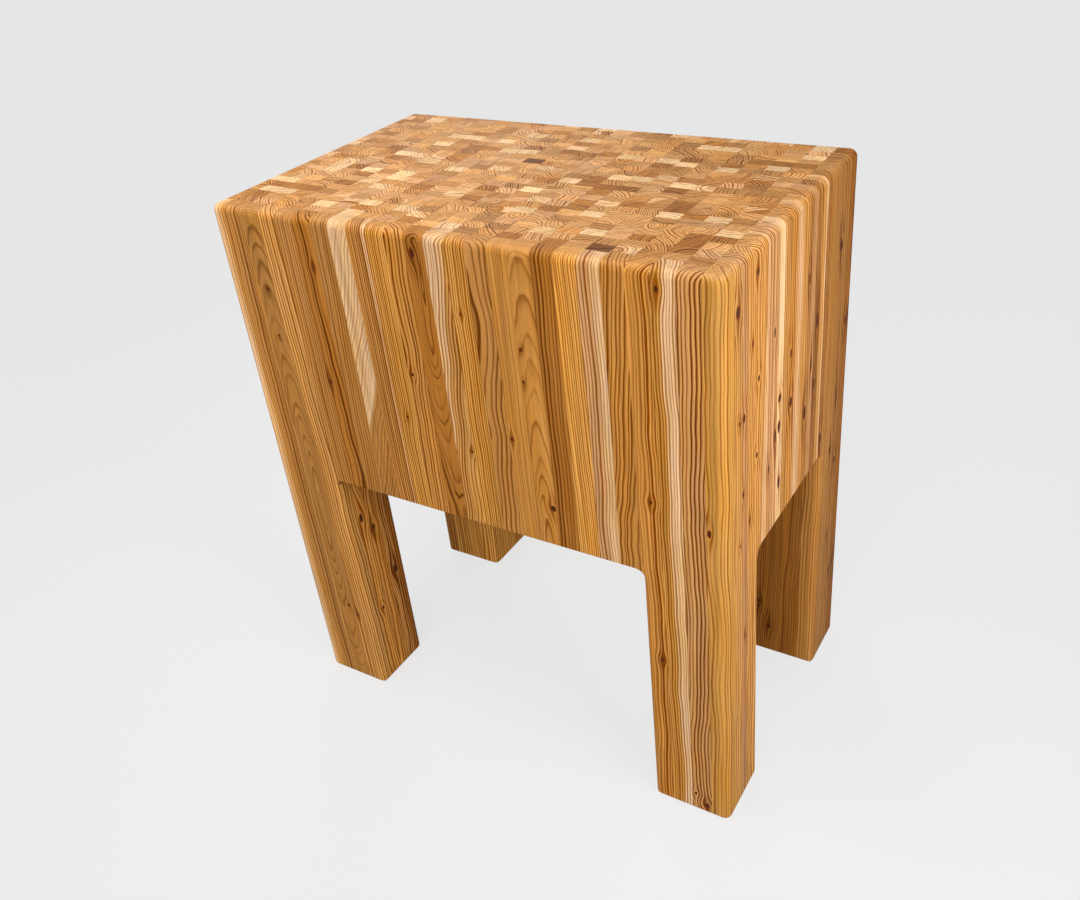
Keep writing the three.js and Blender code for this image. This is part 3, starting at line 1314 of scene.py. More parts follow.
    def ramp(self, share: bpy.types.NodeSocket, stops: Sequence[Span]) -> bpy.types.NodeSocket:
        """Turn a share into a grey level.

        Args:
            share: The share, from 0 to 1.
            stops: Places and their levels.

        Returns:
            The level.
        """
        node = self.add("ShaderNodeValToRGB")
        while len(node.color_ramp.elements) < len(stops):
            node.color_ramp.elements.new(1.0)
        for element, (place, level) in zip(node.color_ramp.elements, stops):
            element.position = place
            element.color = (level, level, level, 1)
        self.feed(node.inputs[0], share)
        return node.outputs[0]


    def seen(self) -> bpy.types.NodeSocket:
        """Tell what the camera, a gloss or a glass sees apart from what lights the block.

        Returns:
            1 where it is seen and 0 where it gives light.
        """
        paths = self.add("ShaderNodeLightPath").outputs
        seen = self.math("MAXIMUM", paths["Is Camera Ray"], paths["Is Glossy Ray"])
        return self.math("MAXIMUM", seen, paths["Is Transmission Ray"])


@dataclass(frozen=True)
class LarchFinish:
    """Oiled larch: growth rings round a leaning pith, fibres, knots and thin glue lines.

    Lengths are in millimetres, and a scale says how many grains there are for each millimetre.

    Attributes:
        name: The material's name.
        knots: How many knots a stave may show.
        ring: How dark a ring is from its start to its end, as places and levels.
        ring_gain: How much one ring may be stronger than another.
        ring_least: The strength of the weakest ring.
        thread_count: How many fine lines there are to a ring.
        thread_share: How much they show.
        zone_count: How many slow changes of darkness there are to a ring.
        zone_share: How much they show.
        late_from: How dark a ring is where its late wood starts to show.
        late_to: How dark a ring is where it is all late wood.
        lean_height: The height at which a leaning pith is at its own place.
        slow_scale: Scale of the pith's slow wandering.
        slow_swing: How far it goes.
        quick_scale: Scale of the pith's quick wandering.
        quick_swing: How far it goes.
        ripple_scale: Scale of the ripples in a ring.
        ripple: How far they go.
        uneven_count: How many changes of ring width there are to a ring.
        uneven: How far they move a ring, in rings.
        sap_early: The early wood of the sapwood.
        sap_late: The late wood of the sapwood.
        sap_edge: Where the sapwood starts to show and where it is whole, about its border.
        fibre_scale: Scale of the fibres.
        fibre_share: How much they show.
        streak_scale: Scale of the long streaks.
        streak_share: How much they show.
        patch_scale: Scale of the patches of colour.
        pale_patch: The tint of the palest patch.
        red_patch: The tint of the reddest patch.
        knot_heart: The colour of a knot's heart.
        knot_rim: The colour of its rim.
        knot_grain_scale: Scale of the ragged border of a knot.
        knot_reach: How many times its radius a knot pushes the grain aside.
        knot_push: How far it does so.
        halo_reach: How many times its radius a knot darkens the wood round it.
        halo_flat: How much shorter that dark wood counts along the height.
        halo_share: How dark it is.
        end_range: How level a surface is where end grain starts and where it is whole.
        end_late: How much darker a ring has to be on end grain to show its late wood.
        dry_end_sheen: The colour of dry end grain, which also paints a pale sheen of the light from above on
            level faces.
        dry_end_sheen_share: How much of it there is.
        glue: The colour of a glue line.
        glue_width: Half of its width.
        glue_share: How much it shows.
        dry_roughness: The roughness of early wood.
        dense_roughness: The roughness of late wood.
        fibre_roughness: How much the fibres change the roughness.
        gloss: How much the surface mirrors.
        pore_scale: Scale of the pores.
        pore_depth: How deep they are, in metres.
        pore_strength: How much they show.
    """

    name: str = "oiled_larch"
    knots: int = 3
    ring: tuple[Span, ...] = (
        (0.0, 0.35), (0.08, 0.0), (0.36, 0.1), (0.6, 0.55), (0.8, 1.0), (0.93, 0.95), (1.0, 0.35),
    )
    ring_gain: float = 0.7
    ring_least: float = 0.55
    thread_count: float = 2.7
    thread_share: float = 0.22
    zone_count: float = 0.23
    zone_share: float = 0.26
    late_from: float = -0.05
    late_to: float = 1.05
    lean_height: float = 650.0
    slow_scale: float = 0.0045
    slow_swing: float = 6.0
    quick_scale: float = 0.014
    quick_swing: float = 1.4
    ripple_scale: Triple = (0.06, 0.06, 0.009)
    ripple: float = 3.0
    uneven_count: float = 0.45
    uneven: float = 0.6
    sap_early: Triple = from_srgb(228, 186, 136)
    sap_late: Triple = from_srgb(160, 104, 54)
    sap_edge: Span = (-1.5, 2.0)
    fibre_scale: Triple = (0.9, 0.9, 0.014)
    fibre_share: float = 0.55
    streak_scale: Triple = (0.15, 0.15, 0.004)
    streak_share: float = 0.86
    patch_scale: Triple = (0.045, 0.045, 0.006)
    pale_patch: Triple = (1.02, 1.05, 1.22)
    red_patch: Triple = (0.99, 0.93, 0.76)
    knot_heart: Triple = from_srgb(70, 34, 12)
    knot_rim: Triple = from_srgb(120, 60, 18)
    knot_grain_scale: Triple = (0.6, 0.6, 0.35)
    knot_reach: float = 3.0
    knot_push: float = 0.85
    halo_reach: float = 2.8
    halo_flat: float = 0.45
    halo_share: float = 0.3
    end_range: Span = (0.4, 0.95)
    end_late: float = 0.3
    # Pale tint for level faces: partly dry end grain, partly a painted sheen of the light from above
    dry_end_sheen: Triple = (0.8, 0.47, 0.25)
    dry_end_sheen_share: float = 0.26
    glue: Triple = from_srgb(88, 48, 18)
    glue_width: float = 0.35
    glue_share: float = 0.55
    dry_roughness: float = 0.66
    dense_roughness: float = 0.54
    fibre_roughness: float = 0.16
    gloss: float = 0.04
    pore_scale: Triple = (0.9, 0.9, 0.03)
    pore_depth: float = 0.0004
    pore_strength: float = 0.3

    def build(self) -> bpy.types.Material:
        """Make the material.

        Returns:
            The material, which reads the wood of each stave from the mesh.
        """
        material = bpy.data.materials.new(self.name)
        sheet = NodeSheet(material)
        coords = sheet.add("ShaderNodeTexCoord").outputs["Object"]
        place = sheet.vector("MULTIPLY", coords, (1 / MM, 1 / MM, 1 / MM))
        x, y, z = sheet.split(place)
        seed = sheet.split(sheet.attribute("joint_low"))[2]
        shade, dry_end_sheen_weight = sheet.split(sheet.attribute("tone"))[:2]
        facing = sheet.split(sheet.add("ShaderNodeNewGeometry").outputs["Normal"])[2]
        end = sheet.ease(sheet.math("ABSOLUTE", facing), *self.end_range)
        bent_x, bent_y, knot, halo = self.bend_round_knots(sheet, x, y, z)
        radius, turns = self.count_rings(sheet, (bent_x, bent_y, z), seed)
        late = self.darken_rings(sheet, turns, seed, halo, end)
        shifted = sheet.vector("ADD", sheet.pack(bent_x, bent_y, z), sheet.pack(seed, seed, seed))
        fibre = sheet.noise(shifted, self.fibre_scale, 3.0, 0.65)
        colour = self.colour_wood(sheet, late, radius, shade)
        colour = self.streak(sheet, colour, fibre, shifted)
        colour = self.paint_knots(sheet, colour, knot, shifted)
        glued = sheet.times(self.find_glue(sheet, (x, y)), self.glue_share)
        colour = sheet.mix(glued, colour, (*self.glue, 1))
        # Level faces, pale wood most, take a pale tint: partly dry end grain, partly a painted sheen of the
        # light from above
        veil = sheet.times(sheet.times(end, dry_end_sheen_weight), sheet.line(late, -0.85, 1.0))
        colour = sheet.mix(sheet.times(veil, self.dry_end_sheen_share), colour, (*self.dry_end_sheen, 1))
        self.oil(sheet, colour, late, fibre, place)
        return material

    def bend_round_knots(self, sheet: NodeSheet, x: Socket, y: Socket, z: Socket) -> tuple[Socket, ...]:
        """Push the grain aside round each knot.

        Args:
            sheet: The material's nodes.
            x: Place along the width.
            y: Place along the depth.
            z: Height.

        Returns:
            The place along the width and depth where the grain is read, how far into a knot the
            point lies and how near one it lies.
        """
        knot, halo = 0.0, 0.0
        for number in range(1, self.knots + 1):
            at_x, at_y, at_z = sheet.split(sheet.attribute(f"knot_{number}"))
            radius, stretch, along_y = sheet.split(sheet.attribute(f"knot_{number}_form"))
            off_x, off_y = sheet.minus(x, at_x), sheet.minus(y, at_y)
            side = sheet.line(sheet.minus(off_y, off_x), along_y, off_x)
            rise = sheet.math("DIVIDE", sheet.minus(z, at_z), stretch)
            away = sheet.length(side, rise)
            far = sheet.math("DIVIDE", away, sheet.times(radius, self.knot_reach))
            pull = sheet.math("EXPONENT", sheet.times(sheet.times(far, far), -1.0))
            push = sheet.times(side, sheet.times(pull, self.knot_push))
            push_y = sheet.times(push, along_y)
            x = sheet.minus(x, sheet.minus(push, push_y))
            y = sheet.minus(y, push_y)
            inside = sheet.ease(away, sheet.times(radius, 1.15), sheet.times(radius, 0.35))
            long_way = sheet.length(side, sheet.times(rise, self.halo_flat))
            near = sheet.ease(long_way, sheet.times(radius, self.halo_reach), radius)
            knot = sheet.math("MAXIMUM", knot, inside)
            halo = sheet.math("MAXIMUM", halo, near)
        return x, y, knot, halo

    def count_rings(self, sheet: NodeSheet, place: Sequence[Socket], seed: Socket) -> tuple[Socket, Socket]:
        """Count growth rings from the pith to a point.

        Args:
            sheet: The material's nodes.
            place: The point.
            seed: A number of the stave's own.

        Returns:
            The distance from the pith, and the number of rings with a fraction.
        """
        x, y, z = place
        pith_x, pith_y, spacing = sheet.split(sheet.attribute("pith"))
        lean_x, lean_y = sheet.split(sheet.attribute("lean"))[:2]
        sway_x, sway_y = sheet.split(sheet.attribute("sway"))[:2]
        rise = sheet.minus(z, self.lean_height)
        offsets = []
        # The last number of each row sets the two wanderings of the pith apart
        for at, pith, lean, sway, apart in (
            (x, pith_x, lean_x, sway_x, 0.0),
            (y, pith_y, lean_y, sway_y, 41.7),
        ):
            slow = sheet.line_noise(sheet.line(z, self.slow_scale, sheet.line(seed, 3.7, apart)))
            quick = sheet.line_noise(sheet.line(z, self.quick_scale, sheet.line(seed, 5.3, apart)))
            swing = sheet.line(slow, self.slow_swing, sheet.times(quick, self.quick_swing))
            centre = sheet.math("ADD", pith, sheet.line(rise, lean, sheet.times(swing, sway)))
            offsets.append(sheet.minus(at, centre))
        moved = sheet.pack(sheet.math("ADD", x, seed), y, z)
        ripple = sheet.line(sheet.noise(moved, self.ripple_scale), self.ripple, -self.ripple / 2)
        radius = sheet.math("ADD", sheet.length(*offsets), ripple)
        turns = sheet.math("DIVIDE", radius, spacing)
        uneven = sheet.line_noise(sheet.line(turns, self.uneven_count, seed), 2.0)
        return radius, sheet.math("ADD", turns, sheet.line(uneven, self.uneven, 10.0))

    def darken_rings(self, sheet: NodeSheet, turns: Socket, seed: Socket, halo: Socket,
                     end: Socket) -> Socket:
        """Find how far the wood at a point is dark late wood.

        Args:
            sheet: The material's nodes.
            turns: The number of rings with a fraction.
            seed: A number of the stave's own.
            halo: How near a knot the point lies.
            end: How far the point lies on end grain.

        Returns:
            0 in early wood and 1 in late wood.
        """
        thin = sheet.split(sheet.attribute("lean"))[2]
        contrast = sheet.split(sheet.attribute("joint_high"))[2]
        band = sheet.math("POWER", sheet.ramp(sheet.math("FRACT", turns), self.ring), thin)
        own_seed = sheet.line(seed, 7.31, sheet.math("FLOOR", turns))
        strength = sheet.line(sheet.chance(own_seed), self.ring_gain, self.ring_least)
        late = sheet.times(sheet.times(band, strength), contrast)
        thread = sheet.line_noise(sheet.line(turns, self.thread_count, seed), 2.0)
        late = sheet.line(thread, self.thread_share, late)
        zone = sheet.line_noise(sheet.line(turns, self.zone_count, sheet.times(seed, 1.7)))
        zone = sheet.line(zone, self.zone_share, sheet.times(halo, self.halo_share))
        start = sheet.line(end, self.end_late, self.late_from)
        return sheet.ease(sheet.math("ADD", late, zone), start, self.late_to)

    def colour_wood(self, sheet: NodeSheet, late: Socket, radius: Socket, shade: Socket) -> Socket:
        """Colour heartwood and sapwood.

        Args:
            sheet: The material's nodes.
            late: How far the wood is late wood.
            radius: Distance from the pith.
            shade: How light the stave is.

        Returns:
            The colour.
        """
        sap_start = sheet.split(sheet.attribute("sway"))[2]
        heart = sheet.mix(late, sheet.attribute("early"), sheet.attribute("late"))
        sap = sheet.mix(late, (*self.sap_early, 1), (*self.sap_late, 1))
        sap = sheet.mix(1.0, sap, sheet.pack(shade, shade, shade), "MULTIPLY")
        return sheet.mix(sheet.ease(sheet.minus(radius, sap_start), *self.sap_edge), heart, sap)

    def streak(self, sheet: NodeSheet, colour: Socket, fibre: Socket, place: Socket) -> Socket:
        """Lay fibres, long streaks and patches of colour over the wood.

        Args:
            sheet: The material's nodes.
            colour: The colour of the wood.
            fibre: The fibres.
            place: Where streaks and patches are read.

        Returns:
            The colour.
        """
        streak = sheet.noise(place, self.streak_scale, 2.0, 0.6)
        patch = sheet.noise(place, self.patch_scale, 2.0, 0.6)
        level = sheet.times(sheet.line(fibre, self.fibre_share, 1 - self.fibre_share / 2),
                            sheet.line(streak, self.streak_share, 1 - self.streak_share / 2))
        tint = sheet.mix(sheet.ease(patch, 0.25, 0.75), (*self.pale_patch, 1), (*self.red_patch, 1))
        tint = sheet.vector("MULTIPLY", tint, sheet.pack(level, level, level))
        return sheet.mix(1.0, colour, tint, "MULTIPLY")

    def paint_knots(self, sheet: NodeSheet, colour: Socket, knot: Socket, place: Socket) -> Socket:
        """Colour the knots, with ragged borders.

        Args:
            sheet: The material's nodes.
            colour: The colour of the wood.
            knot: How far into a knot the point lies.
            place: Where the ragged border is read.

        Returns:
            The colour.
        """
        grain = sheet.noise(place, self.knot_grain_scale)
        knot_colour = sheet.mix(sheet.ease(knot, 0.3, 0.95), (*self.knot_rim, 1), (*self.knot_heart, 1))
        ragged = sheet.line(grain, 0.7, sheet.minus(knot, 0.38))
        return sheet.mix(sheet.ease(ragged, 0.0, 0.4), colour, knot_colour)

    def find_glue(self, sheet: NodeSheet, place: Sequence[Socket]) -> Socket:
        """Find how far a point lies in a glue line.

        Args:
            sheet: The material's nodes.
            place: The point along the width and the depth.

        Returns:
            1 in the joint and 0 away from it.
        """
        low = sheet.split(sheet.attribute("joint_low"))
        high = sheet.split(sheet.attribute("joint_high"))
        nearest = 1000.0
        for part in range(2):
            nearest = sheet.math("MINIMUM", nearest, sheet.minus(place[part], low[part]))
            nearest = sheet.math("MINIMUM", nearest, sheet.minus(high[part], place[part]))
        return sheet.ease(nearest, self.glue_width, 0.0)

    def oil(self, sheet: NodeSheet, colour: Socket, late: Socket, fibre: Socket, place: Socket) -> None:
        """Give the wood its satin surface.

        Args:
            sheet: The material's nodes.
            colour: The colour of the wood.
            late: How far the wood is late wood.
            fibre: The fibres.
            place: Where the pores are read.
        """
        shader = sheet.add("ShaderNodeBsdfPrincipled")
        sheet.feed(shader.inputs["Base Color"], colour)
        rough = sheet.line(late, self.dense_roughness - self.dry_roughness, self.dry_roughness)
        rough = sheet.math("ADD", rough, sheet.line(fibre, self.fibre_roughness, -self.fibre_roughness / 2))
        sheet.feed(shader.inputs["Roughness"], rough)
        shader.inputs["Specular IOR Level"].default_value = self.gloss
        bump = sheet.add("ShaderNodeBump")
        bump.inputs["Strength"].default_value = self.pore_strength
        bump.inputs["Distance"].default_value = self.pore_depth
        sheet.feed(bump.inputs["Height"], sheet.noise(place, self.pore_scale))
        sheet.feed(shader.inputs["Normal"], bump.outputs[0])
        output = sheet.add("ShaderNodeOutputMaterial")
        sheet.feed(output.inputs["Surface"], shader.outputs[0])


@dataclass
class Slab:
    """A lamella, panel or post: staves glued edge to edge, in place of one solid of the frame.

    Attributes:
        node: The solid that it stands for.
        slot: The slot of the record that it takes its finish from.
        shape: The outside of the block.
        finish: The wood.
        staves: Its staves, from front to back.
        no_knot: The place and the form of a knot that lies far below the floor.
    """
    # slot: The name of its kind of wood, which is not used.

    node: str
    slot: str
    shape: BlockShape
    finish: bpy.types.Material
    staves: list[Stave]
    no_knot: tuple[Triple, Triple] = ((0.0, 0.0, -5000.0), (1.0, 1.0, 0.0))

    def build(self) -> bpy.types.Object:
        """Make the mesh of all its staves.

        Returns:
            The object, which hides the solid.
        """
        mesh = SlabMesh(self.shape)
        for number, stave in enumerate(self.staves):
            mesh.add(stave, number)
        piece = mesh.to_object(f"{self.node}_staves")
        self.dress(piece, mesh.owners)
        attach(piece, BODY)
        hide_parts(self.node)
        return piece

    def dress(self, piece: bpy.types.Object, owners: Sequence[int]) -> None:
        """Give the mesh its finish and the wood of each stave.

        Args:
            piece: The object.
            owners: The number of the stave that each point belongs to.
        """
        piece.data.materials.append(self.finish)
        woods = [self.wood_of(stave) for stave in self.staves]
        for name in woods[0]:
            values = [part for owner in owners for part in woods[owner][name]]
            piece.data.attributes.new(name, "FLOAT_VECTOR", "POINT").data.foreach_set("vector", values)

    def wood_of(self, stave: Stave) -> dict[str, Triple]:
        """Put the wood of a stave into the vectors that the finish reads.

        Args:
            stave: The stave.

        Returns:
            The vectors by name.
        """
        tone = stave.kind.value
        low_x, high_x, low_y, high_y = stave.joints
        wood = {
            "pith": (*stave.pith, stave.spacing),
            "lean": (*stave.lean, stave.thin),
            "sway": (*stave.sway, stave.sap),
            "early": tuple(part * stave.shade for part in tone.early),
            "late": tuple(part * stave.shade for part in tone.late),
            "joint_low": (low_x, low_y, stave.seed),
            "joint_high": (high_x, high_y, stave.contrast),
            # Its second part sets how much dry look and painted sheen the end grain takes
            "tone": (stave.shade, tone.dry_end_sheen_weight(), 0.0),
        }
        for number in range(LarchFinish.knots):
            spot, form = stave.knots[number] if number < len(stave.knots) else self.no_knot
            wood[f"knot_{number + 1}"] = spot
            wood[f"knot_{number + 1}_form"] = form
        return wood


@dataclass
class ChoppingBlock:
    """The whole block: middle lamellae, side panels and leg posts.

    Attributes:
        shape: Its outside.
        finish: The wood.
        middle_count: Number of lamellae without legs.
        leg_count: Number of lamellae across a leg.
        right_corner: Depths of the staves in the outermost post of the front right leg.
        front_depth: Depth of a stave at the front of a front post.
        back_depth: Depth of a stave at the back of a back post.
        seam_depth: Depth of a post's stave next to a panel.
        panel_depth: Depth of a panel's stave next to a post.
        middle_front: Depth of a middle lamella's stave at the front.
        middle_back: Depth of a middle lamella's stave at the back.
    """

    shape: BlockShape
    finish: bpy.types.Material
    middle_count: int = 17
    leg_count: int = 4
    right_corner: tuple[float, ...] = (29.0, 22.0, 19.5, 21.5, 20.0)
    front_depth: Span = (24.0, 31.0)
    back_depth: Span = (16.0, 26.0)
    seam_depth: Span = (19.0, 23.0)
    panel_depth: Span = (19.0, 21.0)
    middle_front: Span = (20.0, 31.0)
    middle_back: Span = (15.0, 31.0)

    def __post_init__(self) -> None:
        """Open the yard that the staves come from."""
        self.yard = StaveYard(self.shape)
        self.count = self.middle_count + 2 * self.leg_count

    def top_kind(self, lamella: int, y: Span) -> Optional[Kind]:
        """Look up a particular tone on the worktop.

        Args:
            lamella: Number of the lamella from the left, from 1.
            y: Ends of the stave along the depth.

        Returns:
            The tone, or None where any will do.
        """
        front = -self.shape.half_depth
        for number, depth, kind in TOP_LOOKS:
            if number == lamella and y[0] <= front + depth < y[1]:
                return kind
        return None

    def slab(self, node: str, lamella: int, joints: Sequence[float], is_long: bool, first: int = 0) -> Slab:
        """Fill one lamella, panel or post with staves.

        Args:
            node: The solid that it stands for.
            lamella: Number of the lamella from the left, from 1.
            joints: Where its staves meet along the depth, with both ends.
            is_long: Whether it is part of a leg.
            first: How many staves of the lamella lie in front of it.

        Returns:
            The slab.
        """
        low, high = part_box(node)
        x = (in_mm(low)[0], in_mm(high)[0])
        staves = []
        for number, y in enumerate(zip(joints, joints[1:])):
            look, side = self.face_look(lamella, x, y, is_long, first + number)
            staves.append(self.yard.saw(x, y, is_long, look, side, self.top_kind(lamella, y)))
        return Slab(node, "post_wood" if is_long else "stave_wood", self.shape, self.finish, staves)

    def face_look(self, lamella: int, x: Span, y: Span, is_long: bool,
                  number: int) -> tuple[Optional[StaveLook], Optional[Side]]:
        """Choose the wood of a stave that shows on an upright face.

        Args:
            lamella: Number of the lamella from the left, from 1.
            x: Ends of the stave along the width.
            y: Ends of the stave along the depth.
            is_long: Whether the stave is part of a leg.
            number: Number of the stave in its lamella from the front, from 0.

        Returns:
            The wood and the face, or None twice where only the ends show.
        """
        shape = self.shape
        open_x, open_y = shape.open_x(x, is_long), shape.open_y(y, is_long)
        if y[0] < TOUCH - shape.half_depth:
            return FRONT_LOOKS[lamella - 1], Side.FRONT
        if lamella == self.count:
            return RIGHT_LOOKS[min(number, len(RIGHT_LOOKS) - 1)], Side.RIGHT
        if y[1] > shape.half_depth - TOUCH:
            return self.yard.common_look(open_x), Side.BACK
        if lamella == 1:
            return self.yard.common_look(open_y), Side.LEFT
        if lamella == self.leg_count and is_long and number <= len(INNER_LOOKS):
            return INNER_LOOKS[number - 1], Side.RIGHT
        # The back right leg's front face gets dark wood that paints the shade under the block
        if x[0] > 0 and open_y < 0:
            return PAINTED_SHADE_LOOKS[lamella - self.count + self.leg_count - 1], Side.FRONT
        if is_long and lamella in (self.leg_count, self.count - self.leg_count + 1):
            side = Side.RIGHT if lamella == self.leg_count else Side.LEFT
            return self.yard.common_look(open_y, WARM_KINDS), side
        if open_y < 0:
            return self.yard.common_look(0, WARM_KINDS), Side.FRONT
        # Faces under the block that face back get dark tones that paint the shade there
        if open_y > 0:
            return self.yard.common_look(0, PAINTED_SHADE_KINDS), Side.BACK
        return None, None

    def leg_lamella(self, lamella: int) -> list[Slab]:
        """Make the front post, the panel and the back post of one lamella.

        Args:
            lamella: Number of the lamella from the left, from 1.

        Returns:
            The three slabs.
        """
        shape, yard = self.shape, self.yard
        draw = yard.chance.uniform
        on_left = lamella <= self.leg_count
        side = "left" if on_left else "right"
        number = lamella if on_left else self.count + 1 - lamella
        front, back = -shape.half_depth, shape.half_depth
        first = yard.depth_joints(front, -shape.leg_y, draw(*self.front_depth), draw(*self.seam_depth))
        if lamella == self.count:
            first = [front + sum(self.right_corner[:k]) for k in range(len(self.right_corner) + 1)]
            first[-1] = -shape.leg_y
        ends = draw(*self.panel_depth), draw(*self.panel_depth)
        middle = yard.depth_joints(-shape.leg_y, shape.leg_y, *ends)
        last = yard.depth_joints(shape.leg_y, back, draw(*self.seam_depth), draw(*self.back_depth))
        return [
            self.slab(f"front_{side}_post_{number}", lamella, first, True),
            self.slab(f"{side}_panel_{number}", lamella, middle, False, len(first) - 1),
            self.slab(f"back_{side}_post_{number}", lamella, last, True, len(first) + len(middle) - 2),
        ]

    def middle_lamella(self, lamella: int) -> Slab:
        """Make one lamella of short staves.

        Args:
            lamella: Number of the lamella from the left, from 1.

        Returns:
            The slab.
        """
        draw, half_depth = self.yard.chance.uniform, self.shape.half_depth
        first, last = draw(*self.middle_front), draw(*self.middle_back)
        joints = self.yard.depth_joints(-half_depth, half_depth, first, last)
        return self.slab(f"middle_lamella_{lamella - self.leg_count:02d}", lamella, joints, False)

    def glue_up(self) -> list[Slab]:
        """Make every lamella.

        Returns:
            The slabs, from left to right and from front to back.
        """
        slabs = []
        for lamella in range(1, self.count + 1):
            is_middle = self.leg_count < lamella <= self.leg_count + self.middle_count
            slabs += [self.middle_lamella(lamella)] if is_middle else self.leg_lamella(lamella)
        return slabs


@dataclass(frozen=True)
class FloorPaint:
    """Pale matt paint, about as bright as the background, which keeps a soft shadow.

    Attributes:
        name: The material's name.
        colour: Its colour where it is seen.
        bounce: How much light it throws back onto the block.
        glow: How much of what is seen is its own level and not the light on it.
        speckle_scale: How many speckles there are for each metre.
        speckle: How much darker a speckle is.
    """

    name: str = "floor_paint"
    colour: Triple = (0.84, 0.84, 0.84)
    bounce: float = 0.25
    glow: float = 0.82
    speckle_scale: Triple = (40.0, 40.0, 40.0)
    speckle: float = 0.015

    def build(self, level: float) -> bpy.types.Material:
        """Make the material.

        Args:
            level: How bright the background is.

        Returns:
            The material.
        """
        material = bpy.data.materials.new(self.name)
        sheet = NodeSheet(material)
        coords = sheet.add("ShaderNodeTexCoord").outputs["Object"]
        darker = tuple(part * (1 - self.speckle) for part in self.colour)
        speckled = sheet.mix(sheet.noise(coords, self.speckle_scale, 3.0), (*darker, 1), (*self.colour, 1))
        seen = sheet.seen()
        paint = sheet.add("ShaderNodeBsdfDiffuse")
        sheet.feed(paint.inputs["Color"], sheet.mix(seen, (*[self.bounce] * 3, 1), speckled))
        glow = sheet.add("ShaderNodeEmission")
        sheet.feed(glow.inputs["Strength"], level)
        blend = sheet.add("ShaderNodeMixShader")
        sheet.feed(blend.inputs[0], sheet.times(seen, self.glow))
        sheet.feed(blend.inputs[1], paint.outputs[0])
        sheet.feed(blend.inputs[2], glow.outputs[0])
        output = sheet.add("ShaderNodeOutputMaterial")
        sheet.feed(output.inputs["Surface"], blend.outputs[0])
        return material


@dataclass(frozen=True)
class SoftLamp:
    """A broad lamp far away.

    Attributes:
        name: Its name.
        direction: Where it shines from.
        strength: How strong its light is.
        width: How many degrees wide it looks.
    """

    name: str
    direction: Triple
    strength: float
    width: float

    def build(self) -> None:
        """Hang the lamp."""
        lamp = bpy.data.lights.new(self.name, "SUN")
        lamp.energy = self.strength
        lamp.angle = math.radians(self.width)
        holder = bpy.data.objects.new(self.name, lamp)
        holder.rotation_euler = Vector(self.direction).to_track_quat("Z", "Y").to_euler()
        bpy.context.collection.objects.link(holder)


@dataclass(frozen=True)
class SoftPanel:
    """A square panel of light near the block.

    Attributes:
        name: Its name.
        place: Where it stands, in metres.
        target: The place that it points at.
        power: Its power in watts.
        side: The length of its side.
        spread: How many degrees wide its light fans out.
    """

    name: str
    place: Triple
    target: Triple
    power: float
    side: float
    spread: float = 180.0

    def build(self) -> None:
        """Set the panel up."""
        lamp = bpy.data.lights.new(self.name, "AREA")
        lamp.energy = self.power
        lamp.size = self.side
        lamp.spread = math.radians(self.spread)
        holder = bpy.data.objects.new(self.name, lamp)
        holder.location = self.place
        way = Vector(self.place) - Vector(self.target)
        holder.rotation_euler = way.to_track_quat("Z", "Y").to_euler()
        holder.visible_camera = False
        bpy.context.collection.objects.link(holder)


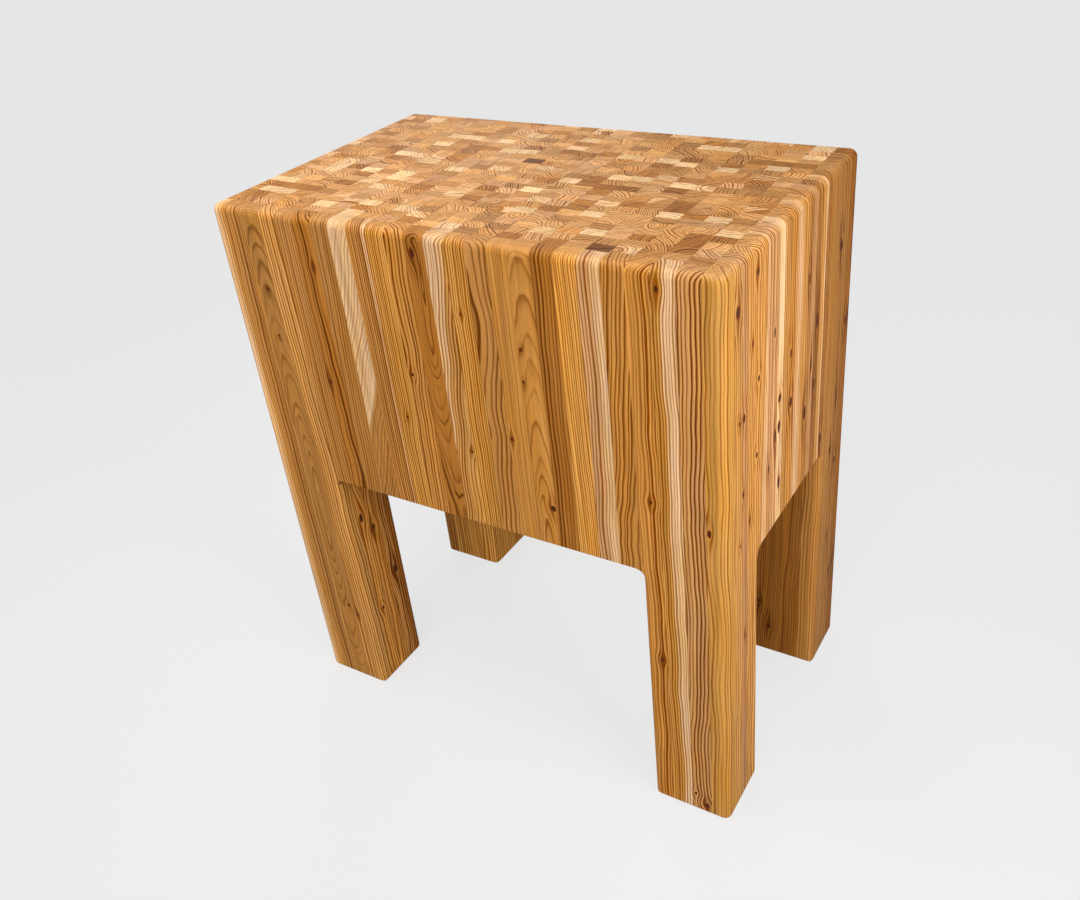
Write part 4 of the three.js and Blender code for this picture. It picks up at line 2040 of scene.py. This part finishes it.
@dataclass(frozen=True)
class Studio:
    """A pale floor, soft light and the camera, in metres.

    Attributes:
        image_width: Width of the photograph, in pixels.
        image_height: Height of the photograph, in pixels.
        focal_pixels: Focal length of the lens, in pixels.
        axis_x: Where the lens points along the width of the photograph, in pixels.
        axis_y: Where the lens points down the height of the photograph, in pixels.
        camera_place: Where the camera stands.
        camera_turn: How it is turned about X, Y and Z, in degrees.
        sensor_width: Width of its sensor, in millimetres.
        sight: How far it sees.
        floor: The paint of the floor.
        floor_reach: Distance of the floor's edges from the block.
        background: How bright the background is.
        sky: How strong the even light from all round is.
        lamps: The lamps.
    """

    image_width: float = 1080.0
    image_height: float = 900.0
    focal_pixels: float = 1054.875
    axis_x: float = 571.654
    axis_y: float = 424.338
    camera_place: Triple = (0.82332, -1.22579, 1.37463)
    camera_turn: Triple = (58.6436, 4.7591, 30.1322)
    sensor_width: float = 36.0
    sight: float = 200.0
    floor: FloorPaint = FloorPaint()
    floor_reach: float = 30.0
    background: float = 0.84
    sky: float = 0.4
    lamps: tuple[Union[SoftLamp, SoftPanel], ...] = (
        SoftLamp("front_lamp", (0.18, -0.84, 0.46), 1.8, 45.0),
        SoftPanel("top_panel", (-0.45, -0.56, 1.73), (-0.1, -0.1, 0.9), 9.6, 1.0),
        SoftPanel("side_panel", (1.5, -0.5, 0.95), (0.4, -0.15, 0.65), 7.9, 0.9, 110.0),
        SoftPanel("back_panel", (-1.5, 1.9, 0.85), (-0.1, 0.1, 0.8), 7.5, 1.2, 90.0),
    )

    def build(self) -> None:
        """Set up the floor, the light and the camera."""
        self.lay_floor()
        self.light()
        self.place_camera()

    def lay_floor(self) -> None:
        """Lay a wide painted floor."""
        reach = self.floor_reach
        corners = [(-reach, -reach, 0), (reach, -reach, 0), (reach, reach, 0), (-reach, reach, 0)]
        mesh = bpy.data.meshes.new("floor")
        mesh.from_pydata(corners, [], [(0, 1, 2, 3)])
        mesh.materials.append(self.floor.build(self.background))
        floor = bpy.data.objects.new("floor", mesh)
        bpy.context.collection.objects.link(floor)

    def light(self) -> None:
        """Light the block with an even sky and broad soft lamps."""
        world = bpy.data.worlds.new("studio")
        bpy.context.scene.world = world
        sheet = NodeSheet(world)
        level = sheet.add("ShaderNodeMapRange")
        for name, source in (("Value", sheet.seen()), ("To Min", self.sky), ("To Max", self.background)):
            sheet.feed(level.inputs[name], source)
        sky = sheet.add("ShaderNodeBackground")
        sky.inputs["Color"].default_value = (1, 1, 1, 1)
        sheet.feed(sky.inputs["Strength"], level.outputs[0])
        output = sheet.add("ShaderNodeOutputWorld")
        sheet.feed(output.inputs["Surface"], sky.outputs[0])
        for lamp in self.lamps:
            lamp.build()

    def place_camera(self) -> None:
        """Put the camera where the photograph was taken from."""
        lens = bpy.data.cameras.new("camera")
        lens.sensor_fit = "HORIZONTAL"
        lens.sensor_width = self.sensor_width
        lens.lens = self.focal_pixels * lens.sensor_width / self.image_width
        lens.shift_x = (self.image_width / 2 - self.axis_x) / self.image_width
        lens.shift_y = (self.axis_y - self.image_height / 2) / self.image_width
        lens.clip_end = self.sight
        camera = bpy.data.objects.new("camera", lens)
        camera.location = self.camera_place
        camera.rotation_euler = Euler([math.radians(angle) for angle in self.camera_turn], "XYZ")
        bpy.context.collection.objects.link(camera)
        bpy.context.scene.camera = camera
        bpy.context.scene.view_settings.view_transform = "Standard"


def main() -> None:
    """Build the block and its studio, and report each piece."""
    logging.basicConfig(level=logging.INFO, format="%(message)s")
    block = ChoppingBlock(BlockShape.from_frame(), LarchFinish().build())
    for slab in block.glue_up():
        piece = slab.build()
        LOG.info("%s: %d staves, %d faces", piece.name, len(slab.staves), len(piece.data.polygons))
    studio = Studio()
    studio.build()
    LOG.info("studio: floor, camera and %d lamps", len(studio.lamps))


if __name__ == "__main__":
    main()
